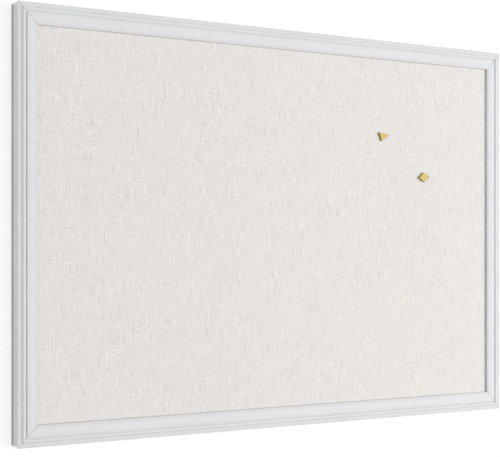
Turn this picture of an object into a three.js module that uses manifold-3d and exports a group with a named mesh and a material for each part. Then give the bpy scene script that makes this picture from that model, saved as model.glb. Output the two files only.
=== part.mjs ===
// A linen-faced cork pin board in a white stepped moulding, hung on a wall, with two gold push pins.
// X runs along the board, Z is up, and the wall is the plane y = 0, so the face looks along -Y.
// The origin lies on the wall, midway between the two seats that the wall screws carry.

import * as THREE from 'three';
import { mergeVertices } from 'three/addons/utils/BufferGeometryUtils.js';
import Module from 'manifold-3d';

const wasm = await Module();
wasm.setup();

// Driving dimensions, in millimetres.
const BOARD = { width: 762, height: 508 };

// Clearances: between fitted pieces, across a mitre, round the filling, and the overrun of a cut.
const FIT_GAP = 0.3;
const MITRE_GAP = 0.3;
const FILLING_GAP = 0.6;
const OVERRUN = 1;

// The moulding's section. Sizes across run from the outer edge inward; sizes up run towards the room.
const MOULDING = {
  faceWidth: 25.4, // outer edge to lip
  depth: 14.25, // rear face to outer tread
  overhang: 1.5, // flange beyond the side wall, with a hollow under it
  flangeEdge: 1.6, // thickness of the flange's round edge
  tread: 2.3, // flat outer tread
  stepRun: 3.1, // hollow step up to the bead
  stepRise: 1.2,
  beadWidth: 2.6,
  beadCrown: 0.3,
  grooveWidth: 3,
  grooveDepth: 1.9,
  innerDrop: 0.2, // broad face's edges below the bead's
  faceCrown: 0.25, // swell of the broad face
  shoulderRun: 4.2, // fall of the broad face towards the lip
  shoulderDrop: 0.35,
  lipRound: 0.9,
  lipCover: 8.4, // lip's reach over the filling
  lipHeight: 2.6, // outer tread above the linen
};
const STEP_HOLLOW_SHARE = 0.25; // hollow of the step, of its rise
const SHOULDER_SWELL_SHARE = 0.25; // swell of the shoulder, of its drop

// The filling, from the room to the wall.
const LINEN = { thickness: 0.8 };
const CORK = { thickness: 3 };

// The panel that closes the back, flush with the side walls.
const BACK = { thickness: 4.75, corner: 2 };

// Pads that keep the back off the wall.
const BUMPER = { thickness: 1.5, radius: 5, inset: 12, roll: 0.3 };

// Countersunk wood screws.
const SCREW = { headRadius: 2.8, headDepth: 1.5, shankRadius: 1.3, length: 14, tip: 3 };
const LONG_SIDE_SCREW_SHARES = [-0.375, -0.125, 0.125, 0.375];
const SHORT_SIDE_SCREW_SHARES = [-0.15, 0.15];

// Keyhole hanger plates, and the pocket through the back panel behind each.
const HANGER = {
  width: 12,
  length: 44,
  thickness: 1,
  corner: 3,
  entryRadius: 4,
  slotWidth: 4.6,
  slotRun: 8, // entry's centre up to the seat's centre
  screwInset: 5,
  clearOfBumper: 24,
};
const POCKET = { width: 9.6 };

// V-shaped nails driven into the back of each mitre.
const NAIL = { arm: 4.5, gauge: 0.6, depth: 8, sink: 0.3 };
const NAIL_HALF_ANGLE = THREE.MathUtils.degToRad(50);
const NAIL_PLACE_SHARES = { outer: 0.3, inner: 0.68 }; // along the mitre, of its length at the back

// Push pins: a flat gold head and a steel needle.
const NEEDLE = { radius: 0.55, butt: 1.5, point: 2.4, tipClearance: 2.4 };
const HEAD = { thickness: 2.7, chamfer: 0.3 };
const TRIANGLE = { tip: [10.2, 2], upper: [-7.7, 4.8], lower: [-2.5, -6.8] }; // about the needle
const TRIANGLE_PLACE_SHARES = { across: 0.71325, up: 0.74685 };
const DIAMOND = { long: 19.5, short: 13 };
const DIAMOND_TURN = THREE.MathUtils.degToRad(5);
const DIAMOND_PLACE_SHARES = { across: 0.8097, up: 0.6419 };

// Facets of round stretches.
const ARC_STEPS = 3;
const ROUND_SIDES = 20;
const SMALL_ROUND_SIDES = 14;

// Levels from the wall towards the room, as distances in front of the wall.
const BACK_LEVEL = BUMPER.thickness;
const RAIL_LEVEL = BACK_LEVEL + BACK.thickness;
const TREAD_LEVEL = RAIL_LEVEL + MOULDING.depth;
const LINEN_LEVEL = TREAD_LEVEL - MOULDING.lipHeight;
const CORK_LEVEL = LINEN_LEVEL - LINEN.thickness - FIT_GAP;
const CORE_LEVEL = CORK_LEVEL - CORK.thickness;

// Widths across the moulding, from its outer edge.
const REBATE = MOULDING.faceWidth - MOULDING.lipCover;
const RAIL_MIDDLE = (MOULDING.overhang + REBATE) / 2;

// Heights: the seats lie at zero, and the plates hang below the upper bumpers.
const SEAT_DROP =
  BUMPER.inset + BUMPER.radius + HANGER.clearOfBumper + HANGER.length / 2 - HANGER.slotRun / 2;
const BOARD_CENTRE = SEAT_DROP - BOARD.height / 2;
const HANGER_CENTRE = -HANGER.slotRun / 2 - BOARD_CENTRE;
const HANGER_ACROSS = BOARD.width / 2 - RAIL_MIDDLE;

const paint = new THREE.MeshStandardMaterial({ color: 0xe4e6e7, roughness: 0.45, metalness: 0 });
const linen = new THREE.MeshStandardMaterial({ color: 0xe6e2dd, roughness: 0.95, metalness: 0 });
const cork = new THREE.MeshStandardMaterial({ color: 0xb98a5a, roughness: 0.9, metalness: 0 });
const softboard = new THREE.MeshStandardMaterial({ color: 0xa89a83, roughness: 0.95, metalness: 0 });
const backing = new THREE.MeshStandardMaterial({ color: 0x98979a, roughness: 0.8, metalness: 0 });
const zincSteel = new THREE.MeshStandardMaterial({ color: 0xb9bcc0, roughness: 0.35, metalness: 1 });
const brightSteel = new THREE.MeshStandardMaterial({ color: 0xced0d3, roughness: 0.2, metalness: 1 });
const rubber = new THREE.MeshStandardMaterial({ color: 0x55565a, roughness: 0.85, metalness: 0 });
const gold = new THREE.MeshStandardMaterial({ color: 0xd9b56a, roughness: 0.3, metalness: 1 });

// A closed geometry as a solid that can be cut, without the doubled and sliver corners of its poles.
function solidOf(geometry) {
  const bare = geometry.clone();
  bare.deleteAttribute('normal');
  bare.deleteAttribute('uv');
  const merged = mergeVertices(bare);
  const corners = merged.index.array;
  const kept = [];
  for (let i = 0; i < corners.length; i += 3) {
    const [a, b, c] = corners.slice(i, i + 3);
    if (a !== b && b !== c && c !== a) kept.push(a, b, c);
  }
  const vertProperties = merged.attributes.position.array;
  const triVerts = Uint32Array.from(kept);
  return new wasm.Manifold(new wasm.Mesh({ numProp: 3, vertProperties, triVerts }));
}

function geometryOf(solid) {
  const { vertProperties, triVerts } = solid.getMesh();
  const geometry = new THREE.BufferGeometry();
  geometry.setAttribute('position', new THREE.BufferAttribute(vertProperties, 3));
  geometry.setIndex(new THREE.BufferAttribute(triVerts, 1));
  geometry.computeVertexNormals();
  return geometry;
}

const cut = (geometry, cutters) =>
  geometryOf(cutters.reduce((rest, cutter) => rest.subtract(solidOf(cutter)), solidOf(geometry)));

function piece(name, geometry, material) {
  const mesh = new THREE.Mesh(geometry, material);
  mesh.name = name;
  return mesh;
}

function outline(points) {
  return new THREE.Shape(points.map(([x, y]) => new THREE.Vector2(x, y)));
}

// A rectangle about a point, with quarter-round corners.
function roundedRectangle(width, height, corner) {
  const x = width / 2 - corner;
  const z = height / 2 - corner;
  const shape = new THREE.Shape();
  shape.absarc(x, z, corner, 0, Math.PI / 2);
  shape.absarc(-x, z, corner, Math.PI / 2, Math.PI);
  shape.absarc(-x, -z, corner, Math.PI, 1.5 * Math.PI);
  shape.absarc(x, -z, corner, 1.5 * Math.PI, 2 * Math.PI);
  return shape;
}

// A plate parallel to the wall, with its outline given in (x, z), from level to level + thickness.
function plate(shape, level, thickness, sides = ARC_STEPS) {
  const geometry = new THREE.ExtrudeGeometry(shape, {
    depth: thickness,
    bevelEnabled: false,
    curveSegments: sides,
  });
  geometry.rotateX(Math.PI / 2);
  return geometry.translate(0, -level, 0);
}

// A round bore or peg square to the wall, from level to level + depth.
function peg(radius, level, depth, x = 0, z = 0) {
  const geometry = new THREE.CylinderGeometry(radius, radius, depth, SMALL_ROUND_SIDES);
  return geometry.translate(x, -level - depth / 2, z);
}

// A solid of revolution square to the wall: its section is (radius, y) from the room's end to the wall's.
function turned(section, sides = SMALL_ROUND_SIDES) {
  return new THREE.LatheGeometry(section.map(([r, y]) => new THREE.Vector2(r, y)), sides);
}

// A screw whose flush head lies at a level and whose tip points to the room. With a gap it is the bore.
function screw(x, z, level, gap = 0) {
  const headRadius = SCREW.headRadius + gap;
  const shankRadius = SCREW.shankRadius + gap;
  const mouth = [[headRadius, OVERRUN], [0, OVERRUN]];
  const section = [
    [0, -SCREW.length - gap],
    [shankRadius, SCREW.tip - SCREW.length],
    [shankRadius, -SCREW.headDepth],
    [headRadius, 0],
    ...(gap > 0 ? mouth : [[0, 0]]),
  ];
  return turned(section).translate(x, -level, z);
}

// An arc from the shape's last point to (x, y), which bulges to the left of the way there by bulge.
function arcTo(shape, x, y, bulge) {
  const from = shape.currentPoint.clone();
  const half = new THREE.Vector2(x, y).sub(from).divideScalar(2);
  const rise = Math.abs(bulge);
  const radius = (half.lengthSq() + rise * rise) / (2 * rise);
  const side = new THREE.Vector2(half.y, -half.x).normalize().multiplyScalar(Math.sign(bulge));
  const centre = from.clone().add(half).addScaledVector(side, radius - rise);
  const start = Math.atan2(from.y - centre.y, from.x - centre.x);
  const end = Math.atan2(y - centre.y, x - centre.x);
  shape.absarc(centre.x, centre.y, radius, start, end, bulge > 0);
}

const quarterRoundBulge = (radius) => radius * (1 - Math.SQRT1_2);

// The moulding's section as (across, up): the side wall, the hollow under the round flange, the tread,
// the hollow step, the bead, the round-bottomed groove, the swelling broad face, its shoulder, the round lip
// and the rebate.
function mouldingSection() {
  const m = MOULDING;
  const edgeRadius = m.flangeEdge / 2;
  const hollowRadius = m.overhang - edgeRadius;
  const grooveRadius = m.grooveWidth / 2;
  const stepEnd = edgeRadius + m.tread + m.stepRun;
  const beadEnd = stepEnd + m.beadWidth;
  const grooveEnd = beadEnd + m.grooveWidth;
  const beadLevel = m.depth + m.stepRise;
  const faceLevel = beadLevel - m.innerDrop;
  const grooveSpring = beadLevel - m.grooveDepth + grooveRadius;
  const lipTop = faceLevel - m.shoulderDrop;
  const rebateLevel = m.depth - m.lipHeight + FIT_GAP;
  const shape = new THREE.Shape();
  shape.moveTo(m.overhang, 0);
  shape.lineTo(m.overhang, m.depth - m.flangeEdge - hollowRadius);
  arcTo(shape, edgeRadius, m.depth - m.flangeEdge, -quarterRoundBulge(hollowRadius));
  shape.absarc(edgeRadius, m.depth - edgeRadius, edgeRadius, -Math.PI / 2, Math.PI / 2, true);
  shape.lineTo(edgeRadius + m.tread, m.depth);
  arcTo(shape, stepEnd, beadLevel, -m.stepRise * STEP_HOLLOW_SHARE);
  arcTo(shape, beadEnd, beadLevel, m.beadCrown);
  shape.lineTo(beadEnd, grooveSpring);
  shape.absarc(beadEnd + grooveRadius, grooveSpring, grooveRadius, Math.PI, 2 * Math.PI);
  shape.lineTo(grooveEnd, faceLevel);
  arcTo(shape, m.faceWidth - m.lipRound - m.shoulderRun, faceLevel, m.faceCrown);
  arcTo(shape, m.faceWidth - m.lipRound, lipTop, m.shoulderDrop * SHOULDER_SWELL_SHARE);
  arcTo(shape, m.faceWidth, lipTop - m.lipRound, quarterRoundBulge(m.lipRound));
  shape.lineTo(m.faceWidth, rebateLevel);
  shape.lineTo(REBATE, rebateLevel);
  shape.lineTo(REBATE, 0);
  return shape;
}

// A V-nail in the corner where the mitre runs inward along (1, -1), or its pocket where gap isn't zero.
function cornerNail(share, gap = 0) {
  const sin = Math.sin(NAIL_HALF_ANGLE);
  const cos = Math.cos(NAIL_HALF_ANGLE);
  const arm = NAIL.arm + gap;
  const inner = NAIL.gauge + gap;
  const apex = share * REBATE * Math.SQRT2;
  const side = (sign, offset, reach) => [
    apex + reach * cos + offset * sin,
    sign * (reach * sin - offset * cos),
  ];
  const shape = outline([
    [apex - gap / sin, 0],
    side(-1, -gap, arm),
    side(-1, inner, arm),
    [apex + inner / sin, 0],
    side(1, inner, arm),
    side(1, -gap, arm),
  ]);
  const level = gap > 0 ? RAIL_LEVEL - OVERRUN : RAIL_LEVEL + NAIL.sink;
  const end = RAIL_LEVEL + NAIL.depth + NAIL.sink + gap;
  return plate(shape, level, end - level).rotateY(Math.PI / 4);
}

// The keyhole of a hanger, about the plate's centre: the entry below and the slot's round seat above.
function keyhole() {
  const half = HANGER.slotWidth / 2;
  const meet = Math.asin(half / HANGER.entryRadius);
  const entry = -HANGER.slotRun / 2;
  const path = new THREE.Path();
  path.absarc(0, entry, HANGER.entryRadius, Math.PI / 2 + meet, 2.5 * Math.PI - meet);
  path.absarc(0, entry + HANGER.slotRun, half, 0, Math.PI);
  return path;
}

// The pocket behind a keyhole, long enough for a screw head at the entry and at the seat.
function hangerPocket(x) {
  const shape = roundedRectangle(POCKET.width, HANGER.slotRun + POCKET.width, POCKET.width / 2);
  const pocket = plate(shape, BACK_LEVEL - OVERRUN, BACK.thickness + 2 * OVERRUN, 2 * ARC_STEPS);
  return pocket.translate(x, 0, HANGER_CENTRE);
}

const hangerScrewPlaces = (x) =>
  [1, -1].map((end) => [x, HANGER_CENTRE + end * (HANGER.length / 2 - HANGER.screwInset)]);

// Screws that hold the back, as (x, z) from the board's centre.
const acrossTop = BOARD.height / 2 - RAIL_MIDDLE;
const backScrewPlaces = {
  top: LONG_SIDE_SCREW_SHARES.map((share) => [share * BOARD.width, acrossTop]),
  bottom: LONG_SIDE_SCREW_SHARES.map((share) => [share * BOARD.width, -acrossTop]),
  left: SHORT_SIDE_SCREW_SHARES.map((share) => [-HANGER_ACROSS, share * BOARD.height]),
  right: SHORT_SIDE_SCREW_SHARES.map((share) => [HANGER_ACROSS, share * BOARD.height]),
};

const hangerPlaces = { left: -HANGER_ACROSS, right: HANGER_ACROSS };
const plateLevel = BACK_LEVEL - HANGER.thickness;
const backBores = Object.values(backScrewPlaces)
  .flat()
  .map(([x, z]) => screw(x, z, BACK_LEVEL, FIT_GAP));
const hangerBores = Object.values(hangerPlaces)
  .flatMap(hangerScrewPlaces)
  .map(([x, z]) => screw(x, z, plateLevel, FIT_GAP));
const bores = [...backBores, ...hangerBores];

// A rail lies along X with its outer edge at z = 0, mitred at both ends, and is then turned to its side.
function makeRail(name, length, turn, outward) {
  const bar = new THREE.ExtrudeGeometry(mouldingSection(), {
    depth: length,
    bevelEnabled: false,
    curveSegments: ARC_STEPS,
  });
  const sectionAxes = new THREE.Matrix4().makeBasis(
    new THREE.Vector3(0, 0, -1),
    new THREE.Vector3(0, -1, 0),
    new THREE.Vector3(-1, 0, 0),
  );
  bar.applyMatrix4(sectionAxes).translate(length / 2, -RAIL_LEVEL, 0);

  const outer = length / 2 - MITRE_GAP * Math.SQRT1_2;
  const inner = MOULDING.faceWidth + OVERRUN;
  const between = plate(
    outline([
      [-outer - OVERRUN, OVERRUN],
      [-outer + inner, -inner],
      [outer - inner, -inner],
      [outer + OVERRUN, OVERRUN],
    ]),
    RAIL_LEVEL - OVERRUN,
    MOULDING.depth + MOULDING.stepRise + MOULDING.faceCrown + 2 * OVERRUN,
  );

  const rail = piece(name, bar, paint);
  rail.rotation.y = turn;
  rail.position.set(Math.sin(turn) * outward, 0, Math.cos(turn) * outward);
  rail.updateMatrix();
  const toRail = rail.matrix.clone().invert();
  const nailPockets = Object.values(NAIL_PLACE_SHARES).flatMap((share) => [
    cornerNail(share, FIT_GAP).translate(-length / 2, 0, 0),
    cornerNail(share, FIT_GAP).rotateY(Math.PI / 2).translate(length / 2, 0, 0),
  ]);
  const railBores = bores.map((bore) => bore.clone().applyMatrix4(toRail));
  const mitred = geometryOf(solidOf(bar).intersect(solidOf(between)));
  rail.geometry = cut(mitred, [...nailPockets, ...railBores]);
  return rail;
}

const rails = [
  makeRail('top_rail', BOARD.width, 0, BOARD.height / 2),
  makeRail('right_rail', BOARD.height, Math.PI / 2, BOARD.width / 2),
  makeRail('bottom_rail', BOARD.width, Math.PI, BOARD.height / 2),
  makeRail('left_rail', BOARD.height, -Math.PI / 2, BOARD.width / 2),
];

// Nails in the four mitres, turned from the top left corner round to the others.
const nailCorners = ['top_left', 'top_right', 'bottom_right', 'bottom_left'].map((corner, index) => {
  const nails = Object.entries(NAIL_PLACE_SHARES).map(([place, share]) =>
    piece(`corner_nail_${corner}_${place}`, cornerNail(share), zincSteel),
  );
  const side = index === 0 || index === 3 ? -1 : 1;
  const end = index < 2 ? 1 : -1;
  const pair = new THREE.Group();
  pair.add(...nails);
  pair.rotation.y = (index * Math.PI) / 2;
  pair.position.set((side * BOARD.width) / 2, 0, (end * BOARD.height) / 2);
  return pair;
});

// The filling: linen over cork over softboard, all with the bores that the needles make.
const fillingWidth = BOARD.width - 2 * (REBATE + FILLING_GAP);
const fillingHeight = BOARD.height - 2 * (REBATE + FILLING_GAP);
const pinPlace = ({ across, up }) => [(across - 0.5) * BOARD.width, (up - 0.5) * BOARD.height];
const trianglePlace = pinPlace(TRIANGLE_PLACE_SHARES);
const diamondPlace = pinPlace(DIAMOND_PLACE_SHARES);
const needleTip = RAIL_LEVEL + NEEDLE.tipClearance;

function fillingLayer(name, level, thickness, material) {
  const w = fillingWidth / 2;
  const h = fillingHeight / 2;
  const sheet = plate(outline([[-w, -h], [w, -h], [w, h], [-w, h]]), level, thickness);
  const needleHoles = [trianglePlace, diamondPlace].map(([x, z]) =>
    peg(NEEDLE.radius + FIT_GAP, needleTip - FIT_GAP, LINEN_LEVEL + OVERRUN - needleTip, x, z),
  );
  return piece(name, cut(sheet, needleHoles), material);
}

const filling = [
  fillingLayer('linen_facing', CORK_LEVEL + FIT_GAP, LINEN.thickness, linen),
  fillingLayer('cork_sheet', CORE_LEVEL, CORK.thickness, cork),
  fillingLayer('softboard_core', RAIL_LEVEL, CORE_LEVEL - RAIL_LEVEL, softboard),
];

// The back panel, its fixings, the hangers and the bumpers.
const backOutline = roundedRectangle(
  BOARD.width - 2 * MOULDING.overhang,
  BOARD.height - 2 * MOULDING.overhang,
  BACK.corner,
);
const pockets = Object.values(hangerPlaces).map(hangerPocket);
const backBlank = plate(backOutline, BACK_LEVEL, BACK.thickness);
const backPanel = piece('back_panel', cut(backBlank, [...bores, ...pockets]), backing);

const screwSet = (name, places, level) =>
  places.map(([x, z], index) => piece(`${name}_${index + 1}`, screw(x, z, level), zincSteel));

const backScrews = Object.entries(backScrewPlaces).flatMap(([side, places]) =>
  screwSet(`back_screw_${side}`, places, BACK_LEVEL),
);

function makeHanger([side, x]) {
  const shape = roundedRectangle(HANGER.width, HANGER.length, HANGER.corner);
  shape.holes.push(keyhole());
  const blank = plate(shape, plateLevel, HANGER.thickness, 2 * ARC_STEPS).translate(x, 0, HANGER_CENTRE);
  return [
    piece(`hanger_plate_${side}`, cut(blank, hangerBores), zincSteel),
    ...screwSet(`hanger_screw_${side}`, hangerScrewPlaces(x), plateLevel),
  ];
}

const hangers = Object.entries(hangerPlaces).flatMap(makeHanger);

function makeBumper(name, side, end) {
  const section = [
    [0, -BUMPER.thickness],
    [BUMPER.radius, -BUMPER.thickness],
    [BUMPER.radius, -BUMPER.roll],
    [BUMPER.radius - BUMPER.roll, 0],
    [0, 0],
  ];
  const pad = piece(name, turned(section, ROUND_SIDES), rubber);
  const inset = MOULDING.overhang + BUMPER.inset;
  pad.position.set(side * (BOARD.width / 2 - inset), 0, end * (BOARD.height / 2 - inset));
  return pad;
}

const bumpers = [
  makeBumper('bumper_top_left', -1, 1),
  makeBumper('bumper_top_right', 1, 1),
  makeBumper('bumper_bottom_left', -1, -1),
  makeBumper('bumper_bottom_right', 1, -1),
];

// A push pin about its needle's axis: the head stands just off the linen and holds the needle's butt.
function makePin(name, shape, [x, z]) {
  const headLevel = LINEN_LEVEL + FIT_GAP;
  const blank = new THREE.ExtrudeGeometry(shape, {
    depth: HEAD.thickness - 2 * HEAD.chamfer,
    bevelThickness: HEAD.chamfer,
    bevelSize: HEAD.chamfer,
    bevelOffset: -HEAD.chamfer,
    bevelSegments: 1,
  });
  blank.rotateX(Math.PI / 2).translate(0, -headLevel - HEAD.chamfer, 0);
  const socket = peg(NEEDLE.radius + FIT_GAP, headLevel - OVERRUN, NEEDLE.butt + FIT_GAP + OVERRUN);
  const section = [
    [0, -headLevel - NEEDLE.butt],
    [NEEDLE.radius, -headLevel - NEEDLE.butt],
    [NEEDLE.radius, -needleTip - NEEDLE.point],
    [0, -needleTip],
  ];
  const pin = new THREE.Group();
  pin.add(
    piece(`${name}_pin_head`, cut(blank, [socket]), gold),
    piece(`${name}_pin_needle`, turned(section), brightSteel),
  );
  pin.position.set(x, 0, z);
  return pin;
}

// A rhombus whose long diagonal lies nearly level.
const diamondCorners = [
  [DIAMOND.long / 2, 0],
  [0, DIAMOND.short / 2],
  [-DIAMOND.long / 2, 0],
  [0, -DIAMOND.short / 2],
].map(([x, z]) => new THREE.Vector2(x, z).rotateAround(new THREE.Vector2(), DIAMOND_TURN));

const pins = [
  makePin('triangle', outline([TRIANGLE.tip, TRIANGLE.upper, TRIANGLE.lower]), trianglePlace),
  makePin('diamond', new THREE.Shape(diamondCorners), diamondPlace),
];

const board = new THREE.Group();
board.add(...rails, ...nailCorners, ...filling, backPanel, ...backScrews, ...hangers, ...bumpers, ...pins);
board.position.z = BOARD_CENTRE;

const pinBoard = new THREE.Group();
pinBoard.add(board);

export default pinBoard;
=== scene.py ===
"""A cork pin board faced with linen, in a white stepped moulding, with two gold push pins in it.

It hangs on a wall. All places are metres in the part's own frame: X runs along the board, Y runs
into the wall and Z is up.
"""

import logging
import math
from dataclasses import dataclass
from enum import Enum
from typing import Any

import bmesh
import bpy
import numpy as np
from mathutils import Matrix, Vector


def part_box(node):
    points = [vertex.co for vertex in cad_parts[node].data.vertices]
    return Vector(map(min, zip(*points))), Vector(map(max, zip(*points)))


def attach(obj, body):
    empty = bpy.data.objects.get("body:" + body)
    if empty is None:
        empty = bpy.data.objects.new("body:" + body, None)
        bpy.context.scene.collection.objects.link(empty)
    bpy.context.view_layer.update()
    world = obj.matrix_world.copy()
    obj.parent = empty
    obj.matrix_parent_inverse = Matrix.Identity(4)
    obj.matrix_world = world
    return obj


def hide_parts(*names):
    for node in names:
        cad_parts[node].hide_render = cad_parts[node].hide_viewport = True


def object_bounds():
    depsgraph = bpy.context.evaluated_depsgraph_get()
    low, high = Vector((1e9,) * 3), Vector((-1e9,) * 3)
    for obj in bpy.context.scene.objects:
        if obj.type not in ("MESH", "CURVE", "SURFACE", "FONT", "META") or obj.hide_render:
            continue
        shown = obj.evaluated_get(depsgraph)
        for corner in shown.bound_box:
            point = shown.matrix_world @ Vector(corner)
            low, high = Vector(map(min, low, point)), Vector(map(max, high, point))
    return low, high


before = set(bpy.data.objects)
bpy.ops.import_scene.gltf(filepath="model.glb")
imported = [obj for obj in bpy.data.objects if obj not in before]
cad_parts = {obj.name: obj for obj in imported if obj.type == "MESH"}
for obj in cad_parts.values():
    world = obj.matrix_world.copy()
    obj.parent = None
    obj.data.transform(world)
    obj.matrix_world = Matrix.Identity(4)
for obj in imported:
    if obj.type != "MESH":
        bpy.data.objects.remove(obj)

Array = np.ndarray
Colour = tuple[float, float, float]
Point = tuple[float, float, float]
Span = tuple[float, float]
Material = bpy.types.Material
Socket = bpy.types.NodeSocket

log = logging.getLogger("pin_board")

CAD_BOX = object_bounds()
MM = 0.001
WELD = 1e-7  # points nearer than this are one point


class Body(Enum):
    """The bodies that pieces ride on."""

    BOARD = "board"
    TRIANGLE_PIN = "triangle_pin"
    DIAMOND_PIN = "diamond_pin"


class Slot(Enum):
    """The record's material slots that match the new pieces' finishes."""

    FRAME_PAINT = "frame_paint"
    LINEN = "linen"
    ZINC_STEEL = "zinc_steel"
    NEEDLE_STEEL = "needle_steel"
    BUMPER_RUBBER = "bumper_rubber"
    PIN_GOLD = "pin_gold"


class Run(Enum):
    """Which way a yarn of the linen runs."""

    UPRIGHT = "upright"
    LEVEL = "level"


# Meshes


class Draft:
    """The points and faces of one piece, gathered patch by patch before they become a mesh.

    Each point carries one value, called relief, which a finish may read: above 0 on crests and
    below 0 in hollows and wherever a finish paints shade.
    """

    def __init__(self) -> None:
        """Starts with no patches."""
        self.points: list[Array] = []
        self.reliefs: list[Array] = []
        self.faces: list[list[int]] = []
        self.corner_uvs: list[Array] = []
        self.count = 0

    def grid(
        self,
        points: Array,
        wrap: bool = False,
        uv: Array | None = None,
        relief: Array | None = None,
    ) -> "Draft":
        """Adds a grid of points joined by quads.

        Args:
            points: Rows by columns by 3 coordinates.
            wrap: Joins the last column to the first.
            uv: Rows by columns by 2, with one column more than points where the grid wraps.
            relief: Rows by columns.

        Returns:
            The draft itself, so that another call can follow.
        """
        rows, columns = points.shape[:2]
        across = columns if wrap else columns - 1
        i, j = np.meshgrid(np.arange(rows - 1), np.arange(across), indexing="ij")
        corners = ((i, j), (i + 1, j), (i + 1, j + 1), (i, j + 1))
        faces = np.stack([a * columns + b % columns for a, b in corners], axis=-1).reshape(-1, 4)
        self.faces.extend((faces + self.count).tolist())
        uv = np.zeros((rows, across + 1, 2)) if uv is None else uv
        self.corner_uvs.append(np.stack([uv[a, b] for a, b in corners], axis=2).reshape(-1, 2))
        self.points.append(points.reshape(-1, 3))
        self.reliefs.append(np.zeros(rows * columns) if relief is None else relief.ravel())
        self.count += rows * columns
        return self

    def cap(self, ring: Array) -> None:
        """Adds one flat face round a ring of points.

        Args:
            ring: Count by 3 coordinates.
        """
        self.faces.append(list(range(self.count, self.count + len(ring))))
        self.corner_uvs.append(ring[:, [0, 2]] - ring[:, [0, 2]].mean(0))
        self.points.append(ring)
        self.reliefs.append(np.zeros(len(ring)))
        self.count += len(ring)

    def piece(self, name: str, sharp_deg: float = 40.0) -> bpy.types.Object:
        """Makes the object, its doubled points merged, its faces outwards and its shading smooth.

        Args:
            name: The piece's name.
            sharp_deg: Edges that turn by more than this stay sharp.

        Returns:
            The new object, linked to the scene, at the origin.
        """
        mesh = bpy.data.meshes.new(name)
        mesh.from_pydata(np.concatenate(self.points).tolist(), [], self.faces)
        layer = mesh.uv_layers.new(name="surface")
        layer.data.foreach_set("uv", np.concatenate(self.corner_uvs).astype(np.float32).ravel())
        relief = mesh.attributes.new("relief", "FLOAT", "POINT")
        relief.data.foreach_set("value", np.concatenate(self.reliefs).astype(np.float32))
        shape = bmesh.new()
        shape.from_mesh(mesh)
        bmesh.ops.remove_doubles(shape, verts=shape.verts, dist=WELD)
        loose = [vert for vert in shape.verts if not vert.link_faces]
        bmesh.ops.delete(shape, geom=loose, context="VERTS")
        bmesh.ops.recalc_face_normals(shape, faces=shape.faces)
        shape.to_mesh(mesh)
        shape.free()
        mesh.shade_smooth()
        mesh.set_sharp_from_angle(angle=math.radians(sharp_deg))
        made = bpy.data.objects.new(name, mesh)
        bpy.context.scene.collection.objects.link(made)
        return made


def fit_out(
    piece: bpy.types.Object, material: Material, slot: Slot, body: Body, *nodes: str
) -> None:
    """Dresses a new piece and joins it to the frame.

    Args:
        piece: The new piece.
        material: Its finish.
        slot: The record's slot for that finish. It is not used.
        body: The body that it rides on.
        nodes: The CAD nodes that it replaces.
    """
    piece.data.materials.clear()
    piece.data.materials.append(material)
    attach(piece, body.value)
    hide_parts(*nodes)
    log.info("%s stands for %s on %s", piece.name, ", ".join(nodes), body.value)


def dress_node(node: str, material: Material) -> bpy.types.Object:
    """Gives a finish to a CAD node that stays.

    Args:
        node: The node's name.
        material: Its finish.

    Returns:
        The node's object.
    """
    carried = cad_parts[node]
    carried.data.materials.clear()
    carried.data.materials.append(material)
    log.info("%s keeps its shape and is dressed", node)
    return carried


def soften_edges(carried: bpy.types.Object, width: float, least_deg: float = 35.0) -> None:
    """Breaks the sharp edges of a CAD node with live modifiers, which leave its own mesh alone.

    Args:
        carried: The node's object, whose triangles are loose, so they are welded first.
        width: The bevel's width.
        least_deg: Edges that turn by less than this stay as they are.
    """
    weld = carried.modifiers.new("weld", "WELD")
    weld.merge_threshold = WELD
    bevel = carried.modifiers.new("edges", "BEVEL")
    bevel.width = width
    bevel.segments = 2
    bevel.limit_method = "ANGLE"
    bevel.angle_limit = math.radians(least_deg)


def corners_of(node: str) -> tuple[Array, Array]:
    """The low and the high corner of a CAD node's box."""
    low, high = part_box(node)
    return np.array(low), np.array(high)


def wall_side(low: Array, high: Array) -> Array:
    """The middle of a box's face towards the wall."""
    return np.array([(low[0] + high[0]) / 2, high[1], (low[2] + high[2]) / 2])


def board_middle_and_half() -> tuple[Array, Array]:
    """The middle of the board's CAD box, and half its size along each axis."""
    low, high = (np.array(corner) for corner in CAD_BOX)
    return (low + high) / 2, (high - low) / 2


def bulged(start: Span, end: Span, bulge: float, count: int = 24) -> Array:
    """Points of a circular arc between two points, without the last.

    With half chord c and rise b the radius is R = (c² + b²) / 2b, and the arc stands
    sqrt(R² - s²) - (R - b) off the chord at a distance s from its middle. s runs as -c cos(pi t),
    so a half circle has even steps.

    Args:
        start: First point.
        end: Last point, which isn't returned.
        bulge: The arc's rise to the left of the way from start to end, 0 for a straight line.
        count: Number of points.

    Returns:
        Count by 2.
    """
    a, b = np.array(start), np.array(end)
    s = -np.cos(np.pi * np.arange(count) / count)
    chord = (a + b) / 2 + s[:, None] * (b - a) / 2
    if bulge == 0:
        return chord
    half = np.linalg.norm(b - a) / 2
    rise = abs(bulge)
    radius = (half**2 + rise**2) / (2 * rise)
    offset = np.sqrt(np.maximum(radius**2 - (s * half) ** 2, 0)) - (radius - rise)
    left = np.array([-(b - a)[1], (b - a)[0]]) / (2 * half)
    return chord + np.sign(bulge) * offset[:, None] * left


def evenly_spaced(loop: Array, spacing: float) -> Array:
    """Draws a closed line again with even spacing along its length.

    Args:
        loop: Count by 2.
        spacing: The distance between points, which is rounded up to fit the length.

    Returns:
        New count by 2.
    """
    closed = np.vstack([loop, loop[:1]])
    steps = np.linalg.norm(np.diff(closed, axis=0), axis=1)
    length = np.concatenate([[0], np.cumsum(steps)])
    places = np.linspace(0, length[-1], int(length[-1] / spacing), endpoint=False)
    return np.stack([np.interp(places, length, closed[:, k]) for k in (0, 1)], axis=1)


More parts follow.
